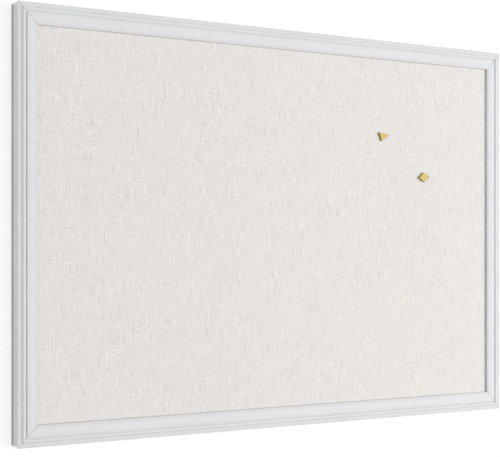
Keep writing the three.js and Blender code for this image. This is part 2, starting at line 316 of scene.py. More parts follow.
def rolling_mean(values: Array, reach: int) -> Array:
    """The mean of each row of a closed list with its neighbours up to reach rows away."""
    return sum(np.roll(values, k, axis=0) for k in range(-reach, reach + 1)) / (2 * reach + 1)


def turned(profile: Array, sides: int, centre: Array) -> Array:
    """A profile turned about an axis square to the wall.

    Args:
        profile: Count by 2: radius, and height above the centre towards the room.
        sides: Points round the axis.
        centre: A point of the axis.

    Returns:
        Count by sides by 3.
    """
    angle = 2 * np.pi * np.arange(sides) / sides
    radius, height = profile[:, :1], profile[:, 1:]
    x, z = radius * np.cos(angle), radius * np.sin(angle)
    return centre + np.stack([x, -height + 0 * x, z], axis=-1)


# Finishes


class Graph:
    """A node tree that is being wired, with one short call for each kind of node used here."""

    def __init__(self, tree: bpy.types.NodeTree) -> None:
        """Takes the tree to wire."""
        self.tree = tree

    def add(
        self, kind: str, inputs: dict[str | int, Any] | None = None, **settings: Any
    ) -> bpy.types.Node:
        """Adds a node.

        Args:
            kind: Its type.
            inputs: What its sockets take, by name or number: a value, or a socket to link from.
            settings: The node's own settings.

        Returns:
            The node.
        """
        node = self.tree.nodes.new(kind)
        for key, value in settings.items():
            setattr(node, key, value)
        for key, value in (inputs or {}).items():
            self.feed(node.inputs[key], value)
        return node

    def feed(self, socket: Socket, value: Any) -> None:
        """Links a socket from another, or sets its value.

        Args:
            socket: The input.
            value: The output to link from, or the value.
        """
        if isinstance(value, bpy.types.NodeSocket):
            self.tree.links.new(value, socket)
        else:
            socket.default_value = value

    def math(self, operation: str, *values: Any) -> Socket:
        """The result of a Math node."""
        return self.add("ShaderNodeMath", dict(enumerate(values)), operation=operation).outputs[0]

    def stretch(self, vector: Socket, factors: Any) -> Socket:
        """A vector multiplied by another, axis by axis."""
        inputs = {0: vector, 1: factors}
        return self.add("ShaderNodeVectorMath", inputs, operation="MULTIPLY").outputs[0]

    def shift(self, vector: Socket, offset: Point) -> Socket:
        """A vector with another added to it."""
        return self.add("ShaderNodeVectorMath", {0: vector, 1: offset}).outputs[0]

    def axes(self, vector: Socket) -> list[Socket]:
        """A vector's three numbers."""
        return list(self.add("ShaderNodeSeparateXYZ", {0: vector}).outputs)

    def vector(self, x: Any, y: Any, z: Any) -> Socket:
        """A vector from three numbers."""
        return self.add("ShaderNodeCombineXYZ", {0: x, 1: y, 2: z}).outputs[0]

    def noise(self, vector: Socket, scale: float = 1.0, detail: float = 2.0) -> Socket:
        """Noise about 0.5."""
        inputs = {"Vector": vector, "Scale": scale, "Detail": detail}
        return self.add("ShaderNodeTexNoise", inputs).outputs[0]

    def spread(
        self, value: Any, low: Any, high: Any, to_low: float = 0.0, to_high: float = 1.0
    ) -> Socket:
        """A value carried smoothly from low..high to to_low..to_high, and clamped there."""
        inputs = {0: value, 1: low, 2: high, 3: to_low, 4: to_high}
        return self.add("ShaderNodeMapRange", inputs, interpolation_type="SMOOTHSTEP").outputs[0]

    def blend(self, factor: Any, a: Any, b: Any, mode: str = "MIX") -> Socket:
        """Mixes two colours.

        Args:
            factor: The share of the second.
            a: The first, as a colour or a socket.
            b: The second.
            mode: The way of mixing.

        Returns:
            The mixed colour.
        """
        a, b = ((*colour, 1.0) if isinstance(colour, tuple) else colour for colour in (a, b))
        inputs = {0: factor, 6: a, 7: b}
        return self.add("ShaderNodeMix", inputs, data_type="RGBA", blend_type=mode).outputs[2]

    def bump(self, height: Any, distance: float) -> Socket:
        """The normal of a surface raised by height times distance."""
        return self.add("ShaderNodeBump", {"Height": height, "Distance": distance}).outputs[0]

    def relief(self) -> Socket:
        """The relief that the piece's points carry."""
        return self.add("ShaderNodeAttribute", attribute_name="relief").outputs["Fac"]

    def group(self, tree: bpy.types.NodeTree, **inputs: Any) -> Any:
        """Places a node group.

        Args:
            tree: The group.
            inputs: What its sockets take: a value, or a socket to link from.

        Returns:
            Its outputs.
        """
        node = self.tree.nodes.new("ShaderNodeGroup")
        node.node_tree = tree
        for key, value in inputs.items():
            self.feed(node.inputs[key], value)
        return node.outputs


class Effects:
    """Node groups that several finishes share, each built once."""

    origin: Point = (0.0, 0.0, 0.0)
    cloud_edges: Span = (0.3, 0.7)
    cloud_detail: float = 3.0
    mark_detail: float = 1.0
    first_mark: float = 0.7
    first_mark_covered: float = -0.4
    crossing: Span = (-0.2, 0.2)
    drift_stretch: Point = (1.0, 1.0, 0.15)
    drift_scale: float = 55.0
    drift_turns: float = 5.0

    def __init__(self) -> None:
        """Builds the groups."""
        self.mottle = self._mottle()
        self.streaks = self._streaks()
        self.weave = self._weave()
        self.yarns = self._yarns()

    @staticmethod
    def _start(
        name: str, inputs: dict[str, float | Point], outputs: tuple[str, ...]
    ) -> tuple[Graph, Any, Any]:
        """Begins a group.

        Args:
            name: The group's name.
            inputs: Default of each input: a number, or three for a vector.
            outputs: Names of the outputs, all of them numbers.

        Returns:
            Its graph, its inputs' sockets and its outputs' sockets.
        """
        tree = bpy.data.node_groups.new(name, "ShaderNodeTree")
        for key, default in inputs.items():
            kind = "NodeSocketVector" if isinstance(default, tuple) else "NodeSocketFloat"
            socket = tree.interface.new_socket(name=key, in_out="INPUT", socket_type=kind)
            socket.default_value = default
        for key in outputs:
            tree.interface.new_socket(name=key, in_out="OUTPUT", socket_type="NodeSocketFloat")
        graph = Graph(tree)
        return graph, graph.add("NodeGroupInput").outputs, graph.add("NodeGroupOutput").inputs

    def _mottle(self) -> bpy.types.NodeTree:
        """Cloudy unevenness: a shade about 1, and the same as a mask from 0 to 1.

        Returns:
            The group.
        """
        inputs = {"Vector": self.origin, "Size": 0.01, "Amount": 0.05}
        g, given, out = self._start("mottle", inputs, ("Shade", "Mask"))
        place = g.stretch(given["Vector"], g.vector(*[g.math("DIVIDE", 1.0, given["Size"])] * 3))
        mask = g.spread(g.noise(place, detail=self.cloud_detail), *self.cloud_edges)
        swing = g.math("MULTIPLY", g.math("MULTIPLY_ADD", mask, 2.0, -1.0), given["Amount"])
        g.feed(out["Shade"], g.math("ADD", 1.0, swing))
        g.feed(out["Mask"], mask)
        return g.tree

    def _streaks(self) -> bpy.types.NodeTree:
        """Long marks along the vector's third axis, as a mask from 0 to 1.

        A mark stands where noise passes first_mark + coverage * first_mark_covered, and it is
        full where noise passes that by the softness.

        Returns:
            The group.
        """
        inputs = {
            "Vector": self.origin,
            "Width": 0.002,
            "Length": 0.02,
            "Coverage": 0.5,
            "Softness": 0.12,
        }
        g, given, out = self._start("streaks", inputs, ("Mask",))
        thin, long = (g.math("DIVIDE", 1.0, given[key]) for key in ("Width", "Length"))
        place = g.stretch(given["Vector"], g.vector(thin, thin, long))
        noise = g.noise(place, detail=self.mark_detail)
        fall = (given["Coverage"], self.first_mark_covered, self.first_mark)
        start = g.math("MULTIPLY_ADD", *fall)
        g.feed(out["Mask"], g.spread(noise, start, g.math("ADD", start, given["Softness"])))
        return g.tree

    def _weave(self) -> bpy.types.NodeTree:
        """Plain weave in the vector's first and third axes: the height of the yarns from 0 to 1.

        A yarn's section is the square of a sine across it. Which yarn lies on top changes from
        crossing to crossing, as the sign of the product of the two sines does.

        Returns:
            The group.
        """
        inputs = {"Vector": self.origin, "Pitch": 0.001}
        g, given, out = self._start("plain_weave", inputs, ("Height",))
        x, _, z = g.axes(given["Vector"])
        turn = g.math("DIVIDE", math.pi, given["Pitch"])
        warp, weft = (g.math("SINE", g.math("MULTIPLY", axis, turn)) for axis in (x, z))
        over = g.spread(g.math("MULTIPLY", warp, weft), *self.crossing)
        warp_height, weft_height = (g.math("MULTIPLY", s, s) for s in (warp, weft))
        warp_part = g.math("MULTIPLY", warp_height, over)
        weft_part = g.math("MULTIPLY", weft_height, g.math("SUBTRACT", 1.0, over))
        g.feed(out["Height"], g.math("ADD", warp_part, weft_part))
        return g.tree

    def _yarns(self) -> bpy.types.NodeTree:
        """Yarns side by side across the vector's first axis: a wave from -1 to 1.

        The wave is the sine of 2 pi times the place over the pitch, with drift_turns times slow
        noise added to that quotient, so the yarns wander.

        Returns:
            The group.
        """
        inputs = {"Vector": self.origin, "Pitch": 0.004}
        g, given, out = self._start("yarns", inputs, ("Wave",))
        slow = g.noise(g.stretch(given["Vector"], self.drift_stretch), self.drift_scale)
        even = g.math("DIVIDE", g.axes(given["Vector"])[0], given["Pitch"])
        turns = g.math("ADD", even, g.math("MULTIPLY", slow, self.drift_turns))
        g.feed(out["Wave"], g.math("SINE", g.math("MULTIPLY", turns, 2 * math.pi)))
        return g.tree


class Finish:
    """What all finishes share: a material with one principled shader, and a piece's own places."""

    def start(self, name: str, **sockets: Any) -> tuple[Graph, Any, Material]:
        """Begins a material.

        Args:
            name: Its name.
            sockets: Fixed values of the shader's sockets, with _ for a space.

        Returns:
            The graph, the shader's inputs and the material.
        """
        material = bpy.data.materials.new(name)
        material.use_nodes = True
        graph = Graph(material.node_tree)
        shader = material.node_tree.nodes["Principled BSDF"].inputs
        for key, value in sockets.items():
            shader[key.replace("_", " ")].default_value = value
        return graph, shader, material

    @staticmethod
    def place(graph: Graph) -> Socket:
        """The piece's own coordinates, in metres."""
        return graph.add("ShaderNodeTexCoord").outputs["Object"]

    @staticmethod
    def shaded(graph: Graph, colour: Any, shade: Any) -> Socket:
        """A colour multiplied by a grey shade."""
        return graph.blend(1.0, colour, graph.vector(shade, shade, shade), "MULTIPLY")


@dataclass(frozen=True)
class SatinPaint(Finish):
    """Cool white satin lacquer over smooth wood, with shade painted grey where its relief falls.

    It is smoother in the dark clouds, and has a fine orange peel with brush marks along the rail.
    """

    colour: Colour = (0.803, 0.819, 0.829)
    # painted shade: the grey mixed into the paint where the relief falls, and how far it goes
    painted_shade_colour: Colour = (0.45, 0.455, 0.46)
    painted_shade_share: float = 0.35
    painted_shade_relief: Span = (-0.05, -1.0)
    roughness: Span = (0.54, 0.63)
    cloud_size: float = 60 * MM
    cloud_amount: float = 0.012
    peel_size: float = 1.6 * MM
    peel_height: float = 0.02 * MM
    brush_width: float = 0.5 * MM
    brush_length: float = 50 * MM
    brush_share: float = 0.35

    def material(self, fx: Effects) -> Material:
        """Builds the material.

        Args:
            fx: The shared node groups.

        Returns:
            The material.
        """
        g, shader, material = self.start("frame_paint")
        here = self.place(g)
        u, v, _ = g.axes(g.add("ShaderNodeUVMap", uv_map="surface").outputs[0])
        along = g.vector(v, 0.0, u)
        clouds = g.group(fx.mottle, Vector=here, Size=self.cloud_size, Amount=self.cloud_amount)
        peel = g.group(fx.mottle, Vector=here, Size=self.peel_size)
        brush = g.group(
            fx.streaks, Vector=along, Width=self.brush_width, Length=self.brush_length
        )
        # painted shade: the paint is greyed where the relief falls below 0, in hollows, under the
        # flange, down the shoulder, round the lip and at the mitres
        hollow = g.spread(g.relief(), *self.painted_shade_relief, 0.0, self.painted_shade_share)
        base = g.blend(hollow, self.colour, self.painted_shade_colour)
        g.feed(shader["Base Color"], self.shaded(g, base, clouds["Shade"]))
        g.feed(shader["Roughness"], g.spread(clouds["Mask"], 0.0, 1.0, *self.roughness))
        height = g.math("MULTIPLY_ADD", brush["Mask"], self.brush_share, peel["Mask"])
        g.feed(shader["Normal"], g.bump(height, self.peel_height))
        return material


@dataclass(frozen=True)
class Slub:
    """One kind of uneven stretch in the linen's yarns: soft ones run into each other.

    With a pitch, its single yarns show, lighter and darker by turns. Without one it is of one
    tone. The offset keeps its noise apart from that of the other kinds.
    """

    run: Run
    width: float
    length: float
    coverage: float
    softness: float
    shade: float
    height: float
    offset: float
    pitch: float = 0.0

    def swing(self, g: Graph, fx: Effects, vector: Socket) -> Socket:
        """How much lighter and thicker than the rest the linen is, from about -1 to 1.

        It is the marks times the wave of the yarns, or the marks less half their coverage.

        Args:
            g: The material's graph.
            fx: The shared node groups.
            vector: The place, with the yarns along its third axis.

        Returns:
            The swing.
        """
        start = g.shift(vector, (self.offset,) * 3)
        marks = g.group(
            fx.streaks,
            Vector=start,
            Width=self.width,
            Length=self.length,
            Coverage=self.coverage,
            Softness=self.softness,
        )["Mask"]
        if self.pitch:
            yarns = g.group(fx.yarns, Vector=start, Pitch=self.pitch)["Wave"]
            return g.math("MULTIPLY", marks, yarns)
        return g.math("SUBTRACT", marks, self.coverage / 2)


@dataclass(frozen=True)
class SlubLinen(Finish):
    """Off-white linen of uneven yarns, with thick and thin stretches upright and level.

    Busy patches have strong slubs and calm ones faint slubs. The highest clouds are warmer.
    """

    colour: Colour = (0.862, 0.829, 0.802)
    warm_colour: Colour = (0.862, 0.824, 0.757)
    warm_share: float = 0.3
    warm_clouds: Span = (0.7, 1.0)
    brightest: float = 1.13
    roughness: float = 0.92
    specular: float = 0.2
    sheen: float = 0.15
    sheen_roughness: float = 0.6
    yarn_pitch: float = 1.1 * MM
    yarn_height: float = 0.4
    slubs: tuple[Slub, ...] = (
        # run, width, length, coverage, softness, shade, height, offset, pitch
        Slub(Run.UPRIGHT, 0.9 * MM, 20 * MM, 1.0, 0.4, 0.11, 0.8, 0.0),
        Slub(Run.LEVEL, 1.0 * MM, 9 * MM, 1.0, 0.4, 0.07, 0.8, 0.71),
        Slub(Run.UPRIGHT, 0.9 * MM, 1.0 * MM, 1.0, 0.4, 0.11, 0.5, 0.53),
        Slub(Run.UPRIGHT, 4.0 * MM, 13 * MM, 0.6, 0.25, 0.085, 0.7, 0.37, 4.2 * MM),
        Slub(Run.LEVEL, 4.0 * MM, 8 * MM, 0.5, 0.25, 0.06, 0.6, 0.13, 3.2 * MM),
        Slub(Run.LEVEL, 2.4 * MM, 2.4 * MM, 0.4, 0.2, 0.12, 0.6, 0.91, 3.4 * MM),
    )
    patch_size: float = 14 * MM
    patch_amount: float = 0.003
    cloud_size: float = 42 * MM
    cloud_amount: float = 0.005
    busy_patches: Span = (0.1, 0.9)
    busy: Span = (0.45, 1.4)
    relief_height: float = 0.1 * MM

    def material(self, fx: Effects) -> Material:
        """Builds the material.

        Args:
            fx: The shared node groups.

        Returns:
            The material.
        """
        g, shader, material = self.start(
            "linen",
            Roughness=self.roughness,
            Specular_IOR_Level=self.specular,
            Sheen_Weight=self.sheen,
            Sheen_Roughness=self.sheen_roughness,
        )
        here = self.place(g)
        x, y, z = g.axes(here)
        ways = {Run.UPRIGHT: here, Run.LEVEL: g.vector(z, y, x)}
        patches = g.group(fx.mottle, Vector=here, Size=self.patch_size, Amount=self.patch_amount)
        clouds = g.group(fx.mottle, Vector=here, Size=self.cloud_size, Amount=self.cloud_amount)
        busy = g.spread(patches["Mask"], *self.busy_patches, *self.busy)
        shade, height = 1.0, 0.0
        for slub in self.slubs:
            swing = g.math("MULTIPLY", slub.swing(g, fx, ways[slub.run]), busy)
            shade = g.math("MULTIPLY_ADD", swing, slub.shade, shade)
            height = g.math("MULTIPLY_ADD", swing, slub.height, height)
        shade = g.math("MULTIPLY", shade, g.math("MULTIPLY", patches["Shade"], clouds["Shade"]))
        shade = g.math("MINIMUM", shade, self.brightest)
        warm = g.spread(clouds["Mask"], *self.warm_clouds, 0.0, self.warm_share)
        base = g.blend(warm, self.colour, self.warm_colour)
        g.feed(shader["Base Color"], self.shaded(g, base, shade))
        weave = g.group(fx.weave, Vector=here, Pitch=self.yarn_pitch)["Height"]
        height = g.math("MULTIPLY_ADD", weave, self.yarn_height, height)
        g.feed(shader["Normal"], g.bump(height, self.relief_height))
        return material


@dataclass(frozen=True)
class Granulate(Finish):
    """Pressed granules, as of cork or fibre board: cells of varied shade with dark joints.

    The joint's two numbers are distances from a cell's middle, in cells: where its dark edge
    begins, and where it is full.
    """

    name: str
    light: Colour
    dark: Colour
    grain: float
    depth: float = 0.2 * MM
    roughness: float = 0.9
    variety: float = 0.7
    joint: Span = (0.45, 0.8)
    cloud_grains: float = 6.0
    cloud_amount: float = 0.08

    def material(self, fx: Effects) -> Material:
        """Builds the material.

        Args:
            fx: The shared node groups.

        Returns:
            The material.
        """
        g, shader, material = self.start(self.name, Roughness=self.roughness)
        here = self.place(g)
        cells = g.add("ShaderNodeTexVoronoi", {"Vector": here, "Scale": 1 / self.grain}).outputs
        cloud_size = self.cloud_grains * self.grain
        clouds = g.group(fx.mottle, Vector=here, Size=cloud_size, Amount=self.cloud_amount)
        varied = g.math("MULTIPLY", g.axes(cells["Color"])[0], self.variety)
        joint = g.spread(cells["Distance"], *self.joint)
        grain = g.blend(g.math("MAXIMUM", varied, joint), self.light, self.dark)
        g.feed(shader["Base Color"], self.shaded(g, grain, clouds["Shade"]))
        g.feed(shader["Normal"], g.bump(g.math("SUBTRACT", 1.0, joint), self.depth))
        return material


@dataclass(frozen=True)
class HardBoard(Finish):
    """Grey pressed board, with faint fibres and soft clouds, rubbed a little paler in places."""

    colour: Colour = (0.49, 0.485, 0.50)
    rubbed_colour: Colour = (0.575, 0.57, 0.575)
    rubbed_clouds: Span = (0.3, 1.0)
    rubbed_share: float = 0.25
    roughness: Span = (0.85, 0.72)
    cloud_size: float = 90 * MM
    cloud_amount: float = 0.02
    speckle_size: float = 1.5 * MM
    speckle_amount: float = 0.05
    fibre_width: float = 0.7 * MM
    fibre_length: float = 9 * MM
    fibre_coverage: float = 0.4
    fibre_share: float = 0.18
    grain_height: float = 0.05 * MM

    def material(self, fx: Effects) -> Material:
        """Builds the material.

        Args:
            fx: The shared node groups.

        Returns:
            The material.
        """
        g, shader, material = self.start("back_board")
        here = self.place(g)
        x, y, z = g.axes(here)
        fibres = [
            g.group(
                fx.streaks,
                Vector=way,
                Width=self.fibre_width,
                Length=self.fibre_length,
                Coverage=self.fibre_coverage,
            )["Mask"]
            for way in (here, g.vector(z, y, x))
        ]
        fibre = g.math("MAXIMUM", *fibres)
        clouds = g.group(fx.mottle, Vector=here, Size=self.cloud_size, Amount=self.cloud_amount)
        speckle = g.group(
            fx.mottle, Vector=here, Size=self.speckle_size, Amount=self.speckle_amount
        )
        rubbing_and_painted_shade = g.spread(clouds["Mask"], *self.rubbed_clouds, 0.0, self.rubbed_share)
        paler = g.math("MULTIPLY_ADD", fibre, self.fibre_share, rubbing_and_painted_shade)
        base = g.blend(paler, self.colour, self.rubbed_colour)
        shade = g.math("MULTIPLY", clouds["Shade"], speckle["Shade"])
        g.feed(shader["Base Color"], self.shaded(g, base, shade))
        g.feed(shader["Roughness"], g.spread(clouds["Mask"], 0.0, 1.0, *self.roughness))
        height = g.math("ADD", fibre, speckle["Mask"])
        g.feed(shader["Normal"], g.bump(height, self.grain_height))
        return material


@dataclass(frozen=True)
class Metal(Finish):
    """Metal with clouds of lighter and darker sheen, fine scratches and a soft grain."""

    name: str
    colour: Colour
    roughness: Span
    cloud_size: float = 4 * MM
    cloud_amount: float = 0.06
    scratch_width: float = 0.12 * MM
    scratch_length: float = 6 * MM
    scratch_coverage: float = 0.35
    scratch_roughness: float = 0.05
    grain_height: float = 0.01 * MM

    def base(self, graph: Graph, clouds: Socket) -> Any:
        """The metal's colour under its clouds."""
        return self.colour

    def material(self, fx: Effects) -> Material:
        """Builds the material.

        Args:
            fx: The shared node groups.

        Returns:
            The material.
        """
        g, shader, material = self.start(self.name, Metallic=1.0)
        here = self.place(g)
        x, y, z = g.axes(here)
        clouds = g.group(fx.mottle, Vector=here, Size=self.cloud_size, Amount=self.cloud_amount)
        scratches = g.group(
            fx.streaks,
            Vector=g.vector(z, y, x),
            Width=self.scratch_width,
            Length=self.scratch_length,
            Coverage=self.scratch_coverage,
        )["Mask"]
        base = self.base(g, clouds["Mask"])
        g.feed(shader["Base Color"], self.shaded(g, base, clouds["Shade"]))
        rough = g.spread(clouds["Mask"], 0.0, 1.0, *self.roughness)
        rough = g.math("MULTIPLY_ADD", scratches, self.scratch_roughness, rough)
        g.feed(shader["Roughness"], rough)
        height = g.math("ADD", scratches, clouds["Mask"])
        g.feed(shader["Normal"], g.bump(height, self.grain_height))
        return material


@dataclass(frozen=True)
class BrassWithPaintedShade(Metal):
    """Brass with shade painted darker in its dished middle and its corners, and dark brown painted
    on its sides and rear as a reflection of shade.
    """

    green_colour: Colour = (0.66, 0.58, 0.24)
    green_share: float = 0.8
    # painted shade and a painted dark reflection of shade, with the relief where each begins and is
    # full
    painted_shade_colour: Colour = (0.59, 0.46, 0.145)
    painted_shade_relief: Span = (-0.55, -1.0)
    painted_dark_reflection_colour: Colour = (0.32, 0.25, 0.10)
    painted_dark_reflection_relief: Span = (-1.1, -2.0)

    def base(self, graph: Graph, clouds: Socket) -> Any:
        """The colour, turned green by the clouds, then darkened by painted shade and by a painted
        dark reflection as relief falls.

        Args:
            graph: The material's graph.
            clouds: The clouds' mask.

        Returns:
            The colour's socket.
        """
        relief = graph.relief()
        green = graph.math("MULTIPLY", clouds, self.green_share)
        tinted = graph.blend(green, self.colour, self.green_colour)
        # painted shade in the dished middle and towards the corners
        hollow = graph.spread(relief, *self.painted_shade_relief)
        rubbing_and_painted_shade = graph.blend(hollow, tinted, self.painted_shade_colour)
        # painted reflection of shade: dark brown on the sides, the rear and the corners
        return graph.blend(graph.spread(relief, *self.painted_dark_reflection_relief), rubbing_and_painted_shade, self.painted_dark_reflection_colour)


@dataclass(frozen=True)
class MouldedRubber(Finish):
    """Dark rubber with a fine matt grain and pale dust on it."""

    colour: Colour = (0.10, 0.10, 0.11)
    dust_colour: Colour = (0.32, 0.31, 0.30)
    dust_size: float = 3 * MM
    dust_clouds: Span = (0.55, 1.0)
    dust_share: float = 0.35
    roughness: Span = (0.7, 0.9)
    grain_size: float = 0.3 * MM
    grain_amount: float = 0.1
    grain_height: float = 0.04 * MM

    def material(self, fx: Effects) -> Material:
        """Builds the material.

        Args:
            fx: The shared node groups.

        Returns:
            The material.
        """
        g, shader, material = self.start("bumper_rubber")
        here = self.place(g)
        dust = g.group(fx.mottle, Vector=here, Size=self.dust_size)["Mask"]
        grain = g.group(fx.mottle, Vector=here, Size=self.grain_size, Amount=self.grain_amount)
        dusty = g.spread(dust, *self.dust_clouds, 0.0, self.dust_share)
        base = g.blend(dusty, self.colour, self.dust_colour)
        g.feed(shader["Base Color"], self.shaded(g, base, grain["Shade"]))
        g.feed(shader["Roughness"], g.spread(dust, 0.0, 1.0, *self.roughness))
        g.feed(shader["Normal"], g.bump(grain["Mask"], self.grain_height))
        return material


# Camera, stage and light


@dataclass(frozen=True)
class Camera:
    """A level camera to the left of the board, with its frame raised to hold the whole board."""

    standpoint: Point = (-1.1406, -1.5351, -0.2289)
    heading_deg: float = 35.553
    lens: float = 106.54
    sensor: float = 36.0
    frame_width_px: int = 500
    horizon_drop_px: float = 26.05

    def build(self) -> None:
        """Makes the camera and the scene's own."""
        data = bpy.data.cameras.new("camera")
        data.lens = self.lens
        data.sensor_width = self.sensor
        data.shift_y = self.horizon_drop_px / self.frame_width_px
        camera = bpy.data.objects.new("camera", data)
        camera.location = self.standpoint
        camera.rotation_euler = (math.pi / 2, 0.0, -math.radians(self.heading_deg))
        bpy.context.scene.collection.objects.link(camera)
        bpy.context.scene.camera = camera
        log.info("camera with a lens of %.1f mm", self.lens)


@dataclass(frozen=True)
class Lamp:
    """An oblong area lamp that looks at the board. Only a mirrored one shows in polished things."""

    name: str
    place: Point
    width: float
    height: float
    power: float
    mirrored: bool = False

    def build(self, target: Array) -> None:
        """Makes the lamp.

        Args:
            target: The point that it faces.
        """
        data = bpy.data.lights.new(self.name, "AREA")
        data.shape = "RECTANGLE"
        data.size = self.width
        data.size_y = self.height
        data.energy = self.power
        lamp = bpy.data.objects.new(self.name, data)
        lamp.location = self.place
        direction = target - np.array(self.place)
        yaw = math.atan2(-direction[0], direction[1])
        pitch = math.atan2(direction[2], math.hypot(direction[0], direction[1]))
        lamp.rotation_euler = (math.pi / 2 + pitch, 0.0, yaw)
        lamp.visible_glossy = self.mirrored
        bpy.context.scene.collection.objects.link(lamp)


@dataclass(frozen=True)
class Stage:
    """A white wall behind the board, a pale floor below it, and soft light from the front right."""

    wall_half: float = 4.0
    wall_gap: float = 0.1 * MM
    floor_level: float = -1.65
    wall_albedo: float = 0.86
    wall_albedo_seen: float = 0.34
    wall_lift: float = 0.735
    sky: float = 0.33
    lamps: tuple[Lamp, ...] = (
        # name, place, width, height, power
        Lamp("front", (0.6, -4.5, -0.195), 2.6, 1.6, 42.0),
        Lamp("key", (3.9, -3.1, -0.195), 3.6, 2.0, 161.0),
        Lamp("left", (-3.5, -1.4, -0.195), 2.4, 1.4, 21.5),
        Lamp("rear", (0.0, 2.6, 0.5), 2.0, 2.0, 40.0, mirrored=True),
    )

    def build(self) -> None:
        """Makes the wall, the floor, the world and the lamps."""
        w, y, f = self.wall_half, self.wall_gap, self.floor_level
        self._sheet("wall", [(-w, y, f), (w, y, f), (w, y, w), (-w, y, w)])
        self._sheet("floor", [(-w, -w, f), (w, -w, f), (w, w, f), (-w, w, f)])
        self._world()
        target, _ = board_middle_and_half()
        for lamp in self.lamps:
            lamp.build(target)
        log.info("stage with %d lamps", len(self.lamps))

    def _sheet(self, name: str, corners: list[Point]) -> None:
        """Makes a one-sided sheet, which throws no shadow. Only the wall lights the board again.

        Args:
            name: Its name.
            corners: Its four corners, in order.
        """
        mesh = bpy.data.meshes.new(name)
        mesh.from_pydata(corners, [], [(0, 1, 2, 3)])
        mesh.materials.append(self._white(name))
        made = bpy.data.objects.new(name, mesh)
        made.visible_diffuse = name == "wall"
        made.visible_shadow = False
        bpy.context.scene.collection.objects.link(made)

    def _white(self, name: str) -> Material:
        """White that a camera sees lifted to the background's, and sees through from behind.

        Args:
            name: The material's name.

        Returns:
            The material.
        """
        material = bpy.data.materials.new(name)
        material.use_nodes = True
        tree = material.node_tree
        tree.nodes.remove(tree.nodes["Principled BSDF"])
        g = Graph(tree)
        seen = g.add("ShaderNodeLightPath").outputs["Is Camera Ray"]
        white, grey = ((value,) * 3 for value in (self.wall_albedo, self.wall_albedo_seen))
        colour = g.blend(seen, white, grey)
        diffuse = g.add("ShaderNodeBsdfDiffuse", {"Color": colour}).outputs[0]
        strength = g.math("MULTIPLY", seen, self.wall_lift)
        lift = g.add("ShaderNodeEmission", {"Strength": strength}).outputs[0]
        front = g.add("ShaderNodeAddShader", {0: diffuse, 1: lift}).outputs[0]
        behind = g.add("ShaderNodeNewGeometry").outputs["Backfacing"]
        clear = g.add("ShaderNodeBsdfTransparent").outputs[0]
        both = g.add("ShaderNodeMixShader", {0: behind, 1: front, 2: clear}).outputs[0]
        g.feed(tree.nodes["Material Output"].inputs["Surface"], both)
        return material

    def _world(self) -> None:
        """Makes a plain sky that lights softly, and that cameras and mirrors see as white."""
        world = bpy.data.worlds.new("sky")
        world.use_nodes = True
        bpy.context.scene.world = world
        g = Graph(world.node_tree)
        path = g.add("ShaderNodeLightPath").outputs
        seen = g.math("MAXIMUM", path["Is Camera Ray"], path["Is Glossy Ray"])
        seen = g.math("MAXIMUM", seen, path["Is Transmission Ray"])
        strength = g.math("MULTIPLY_ADD", seen, 1.0 - self.sky, self.sky)
        background = world.node_tree.nodes["Background"].inputs
        background["Color"].default_value = (1.0, 1.0, 1.0, 1.0)
        g.feed(background["Strength"], strength)


# The board


